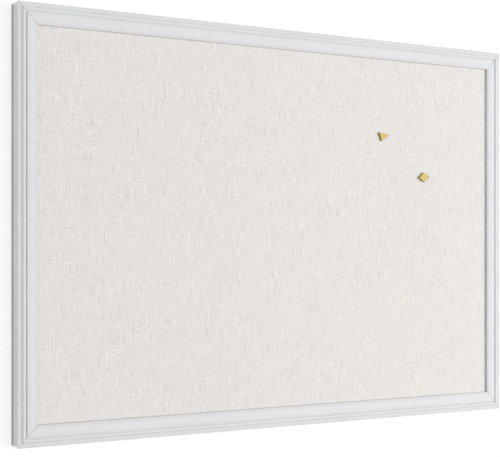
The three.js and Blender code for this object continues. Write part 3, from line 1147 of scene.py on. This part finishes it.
@dataclass(frozen=True)
class Moulding:
    """The frame's four mitred rails of one stepped moulding, in its real sizes.

    From the outer edge to the lip a rail has a flange, a flat tread, a hollow step, a bead, a
    groove, the wide face and its shoulder. Shade is painted grey in front of the tread, under the
    flange, down the shoulder and at the mitres. The stations are the rail's rows of points, in
    millimetres from a mitre.
    """

    face_width: float = 25.4 * MM
    depth: float = 14.25 * MM
    overhang: float = 1.5 * MM
    flange_edge: float = 1.6 * MM
    tread: float = 2.0 * MM
    tread_drop: float = 0.6 * MM
    step_run: float = 3.7 * MM
    step_rise: float = 0.8 * MM
    step_hollow: float = 0.75 * MM
    bead_width: float = 2.6 * MM
    bead_crown: float = 0.3 * MM
    groove_width: float = 2.9 * MM
    groove_depth: float = 2.3 * MM
    groove_hollow: float = 0.3 * MM
    groove_wall: float = 0.25 * MM
    inner_drop: float = 0.2 * MM
    face_crown: float = 0.25 * MM
    shoulder_run: float = 4.2 * MM
    shoulder_drop: float = 0.35 * MM
    shoulder_swell: float = 0.09 * MM
    lip_round: float = 0.9 * MM
    lip_cover: float = 8.4 * MM
    rebate_below_tread: float = 2.3 * MM
    spacing: float = 0.12 * MM
    corner_blur: int = 1
    # painted shade: these set where the relief falls, and so where the paint is greyed
    grey_depth: float = 2.5 * MM
    grey_margin: float = 0.16 * MM
    flange_shadow: float = 1.8 * MM
    crease_gain: float = 4.0
    relief_blur: int = 3
    shoulder_relief: float = -0.5
    lip_relief: float = -0.9
    mitre_gap: float = 0.09 * MM
    mitre_round: float = 0.4 * MM
    mitre_painted_shade: float = 1.1 * MM
    corner_round: float = 1.6 * MM
    stations: tuple[float, ...] = (0, 0.03, 0.08, 0.18, 0.4, 0.7, 1.0, 1.4, 1.8, 2.4, 3.4, 8, 40)

    @property
    def tread_level(self) -> float:
        """Height of the tread above the moulding's rear."""
        return self.depth - self.tread_drop

    @property
    def face_level(self) -> float:
        """Height of the face above the moulding's rear."""
        return self.depth + self.step_rise - self.inner_drop

    @property
    def step_end(self) -> float:
        """Where the bead begins, from the outer edge."""
        return self.flange_edge / 2 + self.tread + self.step_run

    @property
    def groove_end(self) -> float:
        """Where the face begins, from the outer edge."""
        return self.step_end + self.bead_width + self.groove_width

    @property
    def shoulder(self) -> float:
        """Where the lip's rounding begins, from the outer edge."""
        return self.face_width - self.lip_round

    def outline(self) -> Array:
        """The section as a closed line, evenly spaced, with its corners eased.

        It runs up the side wall, round the flange, across the face and down the lip and the
        rebate. Each of its turns is a point and the rise of the arc that follows, above 0 where
        the arc lies to the left of its chord.

        Returns:
            Count by 2: across and up.
        """
        edge = self.flange_edge / 2
        hollow = self.overhang - edge
        tread = self.tread_level
        bead = self.depth + self.step_rise
        bead_end = self.step_end + self.bead_width
        lip_top = self.face_level - self.shoulder_drop
        rebate = self.depth - self.rebate_below_tread
        rebate_wall = self.face_width - self.lip_cover
        quarter = 1 - math.sqrt(0.5)
        turns = [
            (self.overhang, 0, 0),
            (self.overhang, tread - self.flange_edge - hollow, -hollow * quarter),
            (edge, tread - self.flange_edge, edge),
            (edge, tread, 0),
            (edge + self.tread, tread, -self.step_hollow),
            (self.step_end, bead, self.bead_crown),
            (bead_end, bead, -self.groove_hollow),
            (self.groove_end - self.groove_wall, bead - self.groove_depth, 0),
            (self.groove_end, self.face_level, self.face_crown),
            (self.shoulder - self.shoulder_run, self.face_level, self.shoulder_swell),
            (self.shoulder, lip_top, self.lip_round * quarter),
            (self.face_width, lip_top - self.lip_round, 0),
            (self.face_width, rebate, 0),
            (rebate_wall, rebate, 0),
            (rebate_wall, 0, 0),
        ]
        arcs = [bulged(a[:2], b[:2], a[2]) for a, b in zip(turns, turns[1:] + turns[:1])]
        return rolling_mean(evenly_spaced(np.vstack(arcs), self.spacing), self.corner_blur)

    def relief(self, outline: Array, tangent: Array) -> Array:
        """The relief along the section: above 0 on its crests, and below it where shade is painted
        grey.

        It is the least of four values: how sharply the section turns, with hollows below 0; in
        front of the tread, the depth below the face over grey_depth, negated; -1 in the shadow
        under the flange; and a fall to shoulder_relief down the shoulder and to lip_relief round
        the lip.

        Args:
            outline: The section, count by 2.
            tangent: Its unit tangents.

        Returns:
            One value for each point.
        """
        across, up = outline.T
        turning = np.cross(np.roll(tangent, 1, axis=0), np.roll(tangent, -1, axis=0))
        crease = np.clip(-turning * self.crease_gain, -1, 1)
        flange_top, flange_foot = self.tread_level, self.tread_level - self.flange_edge
        in_steps = (across < self.groove_end) & (up > flange_top - self.grey_margin)
        sunk = np.where(in_steps, np.clip((up - self.face_level) / self.grey_depth, -1, 0), 0)
        under_flange = (up < flange_foot) & (up > flange_foot - self.flange_edge)
        sunk = np.where(under_flange & (across < self.flange_shadow), -1, sunk)
        run = self.shoulder_run
        stops = (self.shoulder - run, self.shoulder - run / 2, self.shoulder, self.face_width)
        falls = (0, self.shoulder_relief, self.shoulder_relief, self.lip_relief)
        # painted shade: the creases, the sunk steps, the shadow under the flange and the fall at
        # the shoulder and lip all grey the paint
        least = np.minimum(np.minimum(crease, sunk), np.interp(across, stops, falls))
        return rolling_mean(least, self.relief_blur)

    def rail(
        self, half_length: float, edge: Array, along: Array, inward: Array, level: float
    ) -> Draft:
        """Carries the section along one side of the frame between its two mitres.

        A point (across, up) of the section lies at edge + a * along + across * inward, raised by
        level + up, where a runs from -(half_length - across) to half_length - across, less the
        mitre's gap, so both ends lie beside the planes of the mitres. Near an end the section
        draws in by r - sqrt(r² - (r - d)²) at a distance d from the mitre, with r the rounding of
        the joint's edge, and the relief falls to -1 over the width of the painted shade at the
        mitre.

        Args:
            half_length: Half the rail's outer length.
            edge: The middle of its outer edge, on the wall.
            along: Unit vector along the rail.
            inward: Unit vector towards the board's middle.
            level: Height of the moulding's rear face above the wall.

        Returns:
            The draft of the rail.
        """
        outline = self.outline()
        tangent = np.roll(outline, -1, axis=0) - np.roll(outline, 1, axis=0)
        tangent /= np.linalg.norm(tangent, axis=1)[:, None]
        normal = np.stack([-tangent[:, 1], tangent[:, 0]], axis=1)
        distance = np.array(self.stations) * MM
        r = self.mitre_round
        drawn = r - np.sqrt(r**2 - np.maximum(r - distance, 0) ** 2)
        distance, drawn = (np.concatenate([v, v[::-1]]) for v in (distance, drawn))
        # painted shade at the mitres: the relief falls to -1 near the joint
        painted_shade_fall = np.minimum(distance / self.mitre_painted_shade - 1, 0)
        relief = np.minimum(self.relief(outline, tangent), painted_shade_fall[:, None])
        side = np.repeat([-1.0, 1.0], len(self.stations))
        across = outline[:, 0] - drawn[:, None] * normal[:, 0]
        up = outline[:, 1] - drawn[:, None] * normal[:, 1]
        place = side[:, None] * (half_length - self.mitre_gap - distance[:, None] - across)
        points = edge + place[..., None] * along + across[..., None] * inward
        points[..., 1] -= level + up
        points = self._round_corners(points)
        girth = np.arange(len(outline) + 1) * self.spacing
        lengthwise = np.pad(place, ((0, 0), (0, 1)), "wrap")
        uv = np.stack(np.broadcast_arrays(lengthwise, girth), axis=-1)
        draft = Draft().grid(points, wrap=True, uv=uv, relief=relief)
        draft.cap(points[0])
        draft.cap(points[-1])
        return draft

    def _round_corners(self, points: Array) -> Array:
        """Rounds the frame's outer corners.

        There, squares about the corner's centre become circles of equal reach.

        Args:
            points: Rows by columns by 3.

        Returns:
            The same points, moved where they lie in a corner.
        """
        middle, half = board_middle_and_half()
        offset = points - middle
        past = np.abs(offset) - (half - self.corner_round)
        in_corner = (past[..., 0] > 0) & (past[..., 2] > 0)
        reach = np.maximum(past[..., 0], past[..., 2])
        diagonal = np.maximum(np.hypot(past[..., 0], past[..., 2]), WELD)
        scale = np.where(in_corner, reach / diagonal, 1.0)
        for axis in (0, 2):
            rounded = half[axis] - self.corner_round + past[..., axis] * scale
            moved = np.sign(offset[..., axis]) * rounded
            offset[..., axis] = np.where(in_corner, moved, offset[..., axis])
        return middle + offset

    def build(self, paint: Material) -> None:
        """Builds the four rails.

        Args:
            paint: Their finish.
        """
        middle, half = board_middle_and_half()
        level = -corners_of("top_rail")[1][1]
        sides = {"top": (0, 1), "right": (1, 0), "bottom": (0, -1), "left": (-1, 0)}
        for name, (x, z) in sides.items():
            out, along = np.array([x, 0.0, z]), np.array([z, 0.0, -x])
            edge = middle * (1, 0, 1) + out * half
            length = half[0] if z else half[2]
            draft = self.rail(length, edge, along, -out, level)
            rail = draft.piece(f"{name}_moulding", sharp_deg=60.0)
            fit_out(rail, paint, Slot.FRAME_PAINT, Body.BOARD, f"{name}_rail")


@dataclass(frozen=True)
class LinenFacing:
    """The cloth stretched over the cork.

    It is pressed thinner under the frame's lip, and has a hole and a small dimple where each
    needle goes in. Its slack is two crossing waves, given in radians per metre along X and Z.
    """

    pitch: float = 4.5 * MM
    under_lip: float = 7.8 * MM
    pressed_depth: float = 0.35 * MM
    pressed_width: float = 1.1 * MM
    pressed_lines: int = 8
    pressed_start: float = -0.2
    patch: float = 4.0 * MM
    patch_cells: int = 8
    rings: int = 6
    ring_crowding: float = 0.6
    hole: float = 0.75 * MM
    dimple_depth: float = 0.25 * MM
    dimple_width: float = 1.3 * MM
    slack: float = 0.05 * MM
    slack_waves: tuple[Span, Span] = ((19.0, 7.0), (-5.0, 23.0))

    def build(self, linen: Material) -> None:
        """Builds the cloth: two faces, the rim between them and the holes of the needles.

        Under the lip the front lies pressed_depth lower, and over pressed_width it comes up by
        the smooth step share² (3 - 2 share).

        Args:
            linen: Its finish.
        """
        low, high = corners_of("linen_facing")
        needles = [f"{pin.value}_needle" for pin in (Body.TRIANGLE_PIN, Body.DIAMOND_PIN)]
        pins = [wall_side(*corners_of(needle))[[0, 2]] for needle in needles]
        xs = self._lines(low[0], high[0], [p[0] for p in pins])
        zs = self._lines(low[2], high[2], [p[1] for p in pins])
        x, z = np.meshgrid(xs, zs)
        front, back = (self._layer(x, z, y, pins) for y in (low[1], high[1]))
        from_x, from_z = np.minimum(x - low[0], high[0] - x), np.minimum(z - low[2], high[2] - z)
        share = (np.minimum(from_x, from_z) - self.under_lip) / self.pressed_width
        share = np.clip(share, 0, 1)
        front[..., 1] += self.pressed_depth * (1 - share**2 * (3 - 2 * share))
        in_patch = self._in_patch(x, z, pins)
        draft = Draft()
        for layer in (front, back):
            self._grid_with_gaps(draft, layer, in_patch)
        for border in (np.s_[0, :], np.s_[-1, :], np.s_[:, 0], np.s_[:, -1]):
            draft.grid(np.stack([front[border], back[border]]))
        for pin in pins:
            front_rings, back_rings = (self._rings(pin, y, pins) for y in (low[1], high[1]))
            hole_wall = np.stack([front_rings[-1], back_rings[-1]])
            for rings in (front_rings, back_rings, hole_wall):
                draft.grid(rings, wrap=True)
        cloth = draft.piece("linen_cloth")
        fit_out(cloth, linen, Slot.LINEN, Body.BOARD, "linen_facing")

    def _lines(self, low: float, high: float, centres: list[float]) -> Array:
        """Grid lines from low to high, with fine even sets at the lip and about each centre.

        Args:
            low: The first line.
            high: The last line.
            centres: The needles' places between them.

        Returns:
            The lines, in order.
        """
        lines = np.linspace(low, high, int((high - low) / self.pitch))
        shares = np.linspace(self.pressed_start, 1, self.pressed_lines)
        at_lip = self.under_lip + shares * self.pressed_width
        inside = np.minimum(lines - low, high - lines)
        lines = lines[np.abs(inside - at_lip.mean()) > self.pressed_width]
        lines = np.concatenate([lines, low + at_lip, high - at_lip])
        about = np.linspace(-self.patch, self.patch, self.patch_cells + 1)
        for centre in centres:
            lines = lines[np.abs(lines - centre) > self.patch + self.pitch / 2]
            lines = np.append(lines, centre + about)
        return np.sort(lines)

    def _in_patch(self, x: Array, z: Array, pins: list[Array]) -> Array:
        """Finds the grid's cells that lie in the square about a needle.

        Args:
            x: The grid's places along the board.
            z: The grid's heights.
            pins: The needles' places.

        Returns:
            For each cell, whether it does.
        """
        middle_x, middle_z = ((v[:-1, :-1] + v[1:, 1:]) / 2 for v in (x, z))
        reaches = [np.maximum(abs(middle_x - p[0]), abs(middle_z - p[1])) for p in pins]
        return np.logical_or.reduce([reach < self.patch for reach in reaches])

    def _layer(self, x: Array, z: Array, y: float, pins: list[Array]) -> Array:
        """A face of the cloth at a level, with its slack and its dimples.

        The slack is a product of slow sines, and a dimple is the dimple's depth times
        exp(-(r / width)²).

        Args:
            x: The grid's places along the board.
            z: The grid's heights.
            y: The level.
            pins: The needles' places.

        Returns:
            Rows by columns by 3.
        """
        first, second = (np.sin(x * along + z * up) for along, up in self.slack_waves)
        squares = [(x - p[0]) ** 2 + (z - p[1]) ** 2 for p in pins]
        dimples = sum(self.dimple_depth * np.exp(-s / self.dimple_width**2) for s in squares)
        return np.stack([x, y + dimples + self.slack * first * second, z], axis=-1)

    def _rings(self, pin: Array, y: float, pins: list[Array]) -> Array:
        """Rings from the square about a needle in to its hole.

        Points run straight from one to the other, and lie closer towards the hole.

        Args:
            pin: The needle's place.
            y: The level.
            pins: All the needles' places.

        Returns:
            Rings by points by 3.
        """
        side = np.linspace(-1, 1, self.patch_cells + 1)[:-1]
        one = np.ones(self.patch_cells)
        edges = ((side, -one), (one, side), (-side, one), (-one, -side))
        square = np.vstack([np.stack(edge, axis=1) for edge in edges])
        circle = square / np.linalg.norm(square, axis=1)[:, None]
        t = np.linspace(0, 1, self.rings)[:, None, None] ** self.ring_crowding
        flat = pin + (1 - t) * square * self.patch + t * circle * self.hole
        return self._layer(flat[..., 0], flat[..., 1], y, pins)

    @staticmethod
    def _grid_with_gaps(draft: Draft, points: Array, gaps: Array) -> None:
        """Adds a grid to the draft without some of its cells.

        Args:
            draft: The draft.
            points: Rows by columns by 3.
            gaps: For each cell, whether it is left out.
        """
        first = len(draft.faces)
        draft.grid(points)
        kept = np.flatnonzero(~gaps.ravel())
        faces = draft.faces[first:]
        draft.faces[first:] = [faces[k] for k in kept]
        uvs = draft.corner_uvs[-1].reshape(-1, 4, 2)
        draft.corner_uvs[-1] = uvs[kept].reshape(-1, 2)


@dataclass(frozen=True)
class PushPin:
    """A push pin: a flat gold head with rounded edges and a steel needle.

    The relief is low on the rear and the sides, highest on the front's edge and -1 in the
    front's middle, and the gold paints shade and a dark reflection of shade where it falls.
    Towards the corners it falls further, for painted shade, from a set share of the way out,
    over a set share.
    """

    body: Body
    corners: tuple[Span, ...]
    turn_deg: float = 0.0
    corner_round: float = 0.35 * MM
    corner_steps: int = 7
    front_round: float = 0.3 * MM
    rear_round: float = 0.2 * MM
    round_steps: int = 6
    dish: float = 0.12 * MM
    dish_steps: int = 8
    rear_and_side_shade_relief: float = -2.0
    corner_shade_relief: float = -1.6
    corner_shade_start: float = 0.451
    corner_shade_run: float = 0.55
    needle_radius: float = 0.55 * MM
    needle_point: float = 2.4 * MM
    needle_fullness: float = 0.8
    needle_chamfer: float = 0.1
    point_steps: int = 10
    sides: int = 32

    def build(self, gold: Material, steel: Material) -> None:
        """Builds the head and the needle.

        Args:
            gold: The head's finish.
            steel: The needle's finish.
        """
        name = self.body.value
        head_low, head_high = corners_of(f"{name}_head")
        low, high = corners_of(f"{name}_needle")
        tip = wall_side(low, high)
        centre = np.array([tip[0], head_high[1], tip[2]])
        draft = self._head(centre, head_high[1] - head_low[1])
        head = draft.piece(f"{name}_gold_head", sharp_deg=50.0)
        fit_out(head, gold, Slot.PIN_GOLD, self.body, f"{name}_head")
        needle = self._needle(tip, high[1] - low[1]).piece(f"{name}_steel_needle")
        fit_out(needle, steel, Slot.NEEDLE_STEEL, self.body, f"{name}_needle")

    def _corner_fans(self) -> tuple[Array, Array]:
        """The head's outline, whose edge is centre + radius * direction.

        Each corner's centre is where the two sides, drawn in by the corner's radius, cross: the
        corner less radius / (1 + the cosine between the two outward normals) times their sum. Its
        directions turn from the one normal to the next.

        Returns:
            The centres and the unit directions, count by 2 each.
        """
        turn = math.radians(self.turn_deg)
        spin = [[math.cos(turn), math.sin(turn)], [-math.sin(turn), math.cos(turn)]]
        corners = np.array(self.corners) @ np.array(spin)
        sides = np.roll(corners, -1, axis=0) - corners
        angles = np.arctan2(-sides[:, 0], sides[:, 1])
        normals = np.stack([np.cos(angles), np.sin(angles)], axis=1)
        before = np.roll(normals, 1, axis=0)
        inset = self.corner_round / (1 + (before * normals).sum(1))
        centres = corners - inset[:, None] * (before + normals)
        start = np.roll(angles, 1)
        sweep = (angles - start) % (2 * np.pi)
        share = np.linspace(0, 1, self.corner_steps)
        fans = start[:, None] + sweep[:, None] * share
        directions = np.stack([np.cos(fans), np.sin(fans)], axis=-1).reshape(-1, 2)
        return np.repeat(centres, self.corner_steps, axis=0), directions

    def _head(self, centre: Array, thickness: float) -> Draft:
        """The head, as rings of its outline from the rear's middle to the front's.

        The profile is a quarter round of rear_round, the straight side and a quarter round of
        front_round, and the rings are drawn in by its inset. Inside them they shrink to the
        middle, where the front is dished by dish * (1 - s²) at a share s of the way out.

        Args:
            centre: Where the needle's axis meets the rear.
            thickness: The head's.

        Returns:
            The draft.
        """
        centres, directions = self._corner_fans()
        bend = np.linspace(0, np.pi / 2, self.round_steps)
        rear, front = self.rear_round, self.front_round
        inset = np.concatenate([rear * (1 - np.sin(bend)), front * (1 - np.cos(bend))])
        front_level = thickness - front * (1 - np.sin(bend))
        level = np.concatenate([rear * (1 - np.cos(bend)), front_level])
        rings = centres + (self.corner_round - inset)[:, None, None] * directions
        middle = centres.mean(0)
        out = np.linspace(1, 0, self.dish_steps)[1:]
        shrink = out[:, None, None]
        rear_rings = (middle + shrink * (rings[0] - middle))[::-1]
        front_rings = middle + shrink * (rings[-1] - middle)
        flat = np.concatenate([rear_rings, rings, front_rings])
        dished = thickness - self.dish * (1 - out**2)
        height = np.concatenate([0 * out, level, dished])[:, None]
        # painted shade: low relief on the rear and sides for a painted dark reflection, and -1 in
        # the front's middle
        stops, reliefs = [0, thickness - front, thickness], [self.rear_and_side_shade_relief] * 2 + [1]
        edge = np.interp(level, stops, reliefs)
        relief = np.concatenate([0 * out + self.rear_and_side_shade_relief, edge, out - 1])
        reach = np.linalg.norm(flat - middle, axis=-1)
        # painted shade: the relief falls towards the corners, where the gold is darkened
        painted_shade_fall = np.clip((reach / reach.max() - self.corner_shade_start) / self.corner_shade_run, 0, 1)
        relief = np.minimum(relief[:, None], self.corner_shade_relief * painted_shade_fall)
        height = np.broadcast_to(height, flat.shape[:2])
        points = centre + np.stack([flat[..., 0], -height, flat[..., 1]], axis=-1)
        return Draft().grid(points, wrap=True, relief=relief)

    def _needle(self, tip: Array, length: float) -> Draft:
        """The needle turned about its axis: a point and a shank with a chamfered end.

        The point's radius grows as its length to the power needle_fullness.

        Args:
            tip: The point's end.
            length: From there to the shank's end.

        Returns:
            The draft.
        """
        taper = np.linspace(0, 1, self.point_steps)
        r, chamfer = self.needle_radius, self.needle_chamfer
        point = np.stack([r * taper**self.needle_fullness, self.needle_point * taper], axis=1)
        shank = [[r, length - chamfer * r], [(1 - chamfer) * r, length], [0, length]]
        return Draft().grid(turned(np.vstack([point, shank]), self.sides, tip), wrap=True)


@dataclass(frozen=True)
class CrossheadScrew:
    """A zinced countersunk screw with a cross recess and a threaded shank.

    Each is left at an angle of its own: its place along X and Z times turn_rates.
    """

    head_radius: float = 2.8 * MM
    head_depth: float = 1.5 * MM
    rim: float = 0.08 * MM
    core_radius: float = 0.95 * MM
    thread_radius: float = 1.3 * MM
    thread_pitch: float = 1.3 * MM
    tip: float = 3.0 * MM
    plain_shank: float = 1.5 * MM
    recess_arm: float = 1.55 * MM
    recess_half_width: float = 0.42 * MM
    recess_depth: float = 1.0 * MM
    recess_wall: float = 0.15 * MM
    recess_end: float = 0.7 * MM
    turn_rates: Span = (52.0, 84.0)
    sides: int = 40
    flat_rings: int = 22
    shank_rings: int = 90

    def build(self, zinc: Material) -> None:
        """Builds every screw of the frame.

        Args:
            zinc: Their finish.
        """
        for node in sorted(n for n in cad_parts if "_screw_" in n):
            low, high = corners_of(node)
            turn = self.turn_rates[0] * high[0] + self.turn_rates[1] * low[2]
            screw = self._draft(wall_side(low, high), high[1] - low[1], turn)
            piece = screw.piece(f"{node}_crosshead", sharp_deg=35.0)
            fit_out(piece, zinc, Slot.ZINC_STEEL, Body.BOARD, node)

    def _arm(self, across: Array, along: Array) -> Array:
        """One arm of the recess: full inside its width, and tapering to its end.

        Args:
            across: Distance from the arm's middle line.
            along: Distance from the head's middle along it.

        Returns:
            Its depth, as a share from 0 to 1.
        """
        wall = (self.recess_half_width - np.abs(across)) / self.recess_wall + 0.5
        end = (self.recess_arm - np.abs(along)) / self.recess_end
        return np.clip(wall, 0, 1) * np.clip(end, 0, 1)

    def _draft(self, centre: Array, length: float, turn: float) -> Draft:
        """The screw on a grid of radius and angle.

        The head's flat is sunk by the recess: two crossed arms whose depth falls off over a short
        slope. The shank's radius is the core's plus a ridge, |sin|³ of half the angle plus the
        height over the pitch, which grows from nothing over the first pitch, and it narrows to
        the tip in proportion.

        Args:
            centre: The middle of the head's flat.
            length: From there to the tip.
            turn: The angle that the recess is left at.

        Returns:
            The draft.
        """
        angle = 2 * np.pi * np.arange(self.sides) / self.sides
        flat_radius = np.linspace(0, self.head_radius - self.rim, self.flat_rings)[:, None]
        x, z = (flat_radius * f(angle - turn) for f in (np.cos, np.sin))
        sunk = self.recess_depth * np.maximum(self._arm(x, z), self._arm(z, x))
        thread_start = self.head_depth + self.plain_shank
        rows = np.concatenate([
            [self.rim, 0.5 * self.head_depth, self.head_depth],
            np.linspace(thread_start, length, self.shank_rings),
        ])[:, None]
        cone = (self.head_radius - self.core_radius) / self.head_depth
        narrowing = np.clip((length - rows) / self.tip, 0, 1)
        growth = np.clip((rows - thread_start) / self.thread_pitch, 0, 1)
        phase = angle / 2 + np.pi * rows / self.thread_pitch
        ridge = (self.thread_radius - self.core_radius) * np.abs(np.sin(phase)) ** 3 * growth
        shank = (self.core_radius + ridge) * narrowing
        below = np.where(rows > self.head_depth, shank, self.head_radius - cone * rows)
        radius = np.vstack([np.broadcast_to(flat_radius, sunk.shape), below])
        height = np.vstack([sunk, np.broadcast_to(rows, below.shape)])
        points = np.stack([radius * np.cos(angle), -height, radius * np.sin(angle)], axis=-1)
        return Draft().grid(centre + points, wrap=True)


@dataclass(frozen=True)
class Bumper:
    """A round rubber pad, flat where it meets the wall, with a full round edge and a waist."""

    edge_round: float = 0.45 * MM
    waist: float = 0.12 * MM
    steps: int = 8
    sides: int = 56

    def build(self, rubber: Material) -> None:
        """Builds the four pads.

        The profile is half the flat, a quarter round of edge_round, and the side, drawn in by
        the waist times the sine of pi times the share of its height.

        Args:
            rubber: Their finish.
        """
        bend = np.linspace(0, np.pi / 2, self.steps)
        r = self.edge_round
        for node in sorted(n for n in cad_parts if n.startswith("bumper_")):
            low, high = corners_of(node)
            radius, thickness = (high[0] - low[0]) / 2, high[1] - low[1]
            edge = np.stack([radius - r * (1 - np.sin(bend)), r * (1 - np.cos(bend))], axis=1)
            side = np.linspace(r, thickness, self.steps)[1:]
            waist = self.waist * np.sin(np.pi * (side - r) / (thickness - r))
            wall = np.stack([radius - waist, side], axis=1)
            profile = np.vstack([[[0, 0], [radius / 2, 0]], edge, wall, [[0, thickness]]])
            pad = Draft().grid(turned(profile, self.sides, wall_side(low, high)), wrap=True)
            piece = pad.piece(f"{node}_pad", sharp_deg=50.0)
            fit_out(piece, rubber, Slot.BUMPER_RUBBER, Body.BOARD, node)


@dataclass(frozen=True)
class CarriedNodes:
    """The CAD nodes whose own shape stays, with the finish and the edge that each gets."""

    panel_edge: float = 0.35 * MM
    plate_edge: float = 0.18 * MM

    def build(
        self, board: Material, zinc: Material, cork: Material, softboard: Material
    ) -> None:
        """Dresses the back panel, the hangers, the nails, the cork and the core.

        Args:
            board: The back panel's finish.
            zinc: The hangers' and nails' finish.
            cork: The cork sheet's finish.
            softboard: The core's finish.
        """
        soften_edges(dress_node("back_panel", board), self.panel_edge)
        for node in sorted(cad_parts):
            if node.startswith("hanger_plate_"):
                soften_edges(dress_node(node, zinc), self.plate_edge)
            elif node.startswith("corner_nail_"):
                dress_node(node, zinc)
        dress_node("cork_sheet", cork)
        dress_node("softboard_core", softboard)


@dataclass(frozen=True)
class PinBoard:
    """The whole board: its parts and their finishes."""

    moulding: Moulding = Moulding()
    facing: LinenFacing = LinenFacing()
    screws: CrossheadScrew = CrossheadScrew()
    bumper: Bumper = Bumper()
    carried: CarriedNodes = CarriedNodes()
    pins: tuple[PushPin, ...] = (
        PushPin(
            Body.TRIANGLE_PIN,
            ((10.2 * MM, 2.0 * MM), (-7.7 * MM, 4.8 * MM), (-2.5 * MM, -6.8 * MM)),
        ),
        PushPin(
            Body.DIAMOND_PIN,
            ((9.75 * MM, 0.0), (0.0, 6.5 * MM), (-9.75 * MM, 0.0), (0.0, -6.5 * MM)),
            turn_deg=5.0,
        ),
    )
    paint: SatinPaint = SatinPaint()
    linen: SlubLinen = SlubLinen()
    gold: BrassWithPaintedShade = BrassWithPaintedShade(
        "pin_gold", (0.87, 0.655, 0.255), (0.23, 0.35), cloud_size=6 * MM, cloud_amount=0.09
    )
    zinc: Metal = Metal("zinc_steel", (0.60, 0.61, 0.63), (0.31, 0.43))
    steel: Metal = Metal("needle_steel", (0.66, 0.67, 0.69), (0.15, 0.27))
    rubber: MouldedRubber = MouldedRubber()
    board: HardBoard = HardBoard()
    cork: Granulate = Granulate("cork", (0.50, 0.29, 0.13), (0.26, 0.13, 0.05), 2.2 * MM)
    softboard: Granulate = Granulate(
        "softboard", (0.42, 0.34, 0.24), (0.30, 0.23, 0.15), 0.9 * MM
    )

    def build(self) -> None:
        """Builds the parts in order, from the frame to the small fittings."""
        effects = Effects()
        zinc, gold, steel, board, cork, softboard = (
            finish.material(effects)
            for finish in (self.zinc, self.gold, self.steel, self.board, self.cork, self.softboard)
        )
        self.moulding.build(self.paint.material(effects))
        self.facing.build(self.linen.material(effects))
        for pin in self.pins:
            pin.build(gold, steel)
        self.screws.build(zinc)
        self.bumper.build(self.rubber.material(effects))
        self.carried.build(board, zinc, cork, softboard)


def main() -> None:
    """Builds the camera, the stage and the board."""
    logging.basicConfig(level=logging.INFO, format="%(name)s: %(message)s")
    bpy.context.scene.view_settings.view_transform = "Standard"
    Camera().build()
    Stage().build()
    PinBoard().build()


if __name__ == "__main__":
    main()
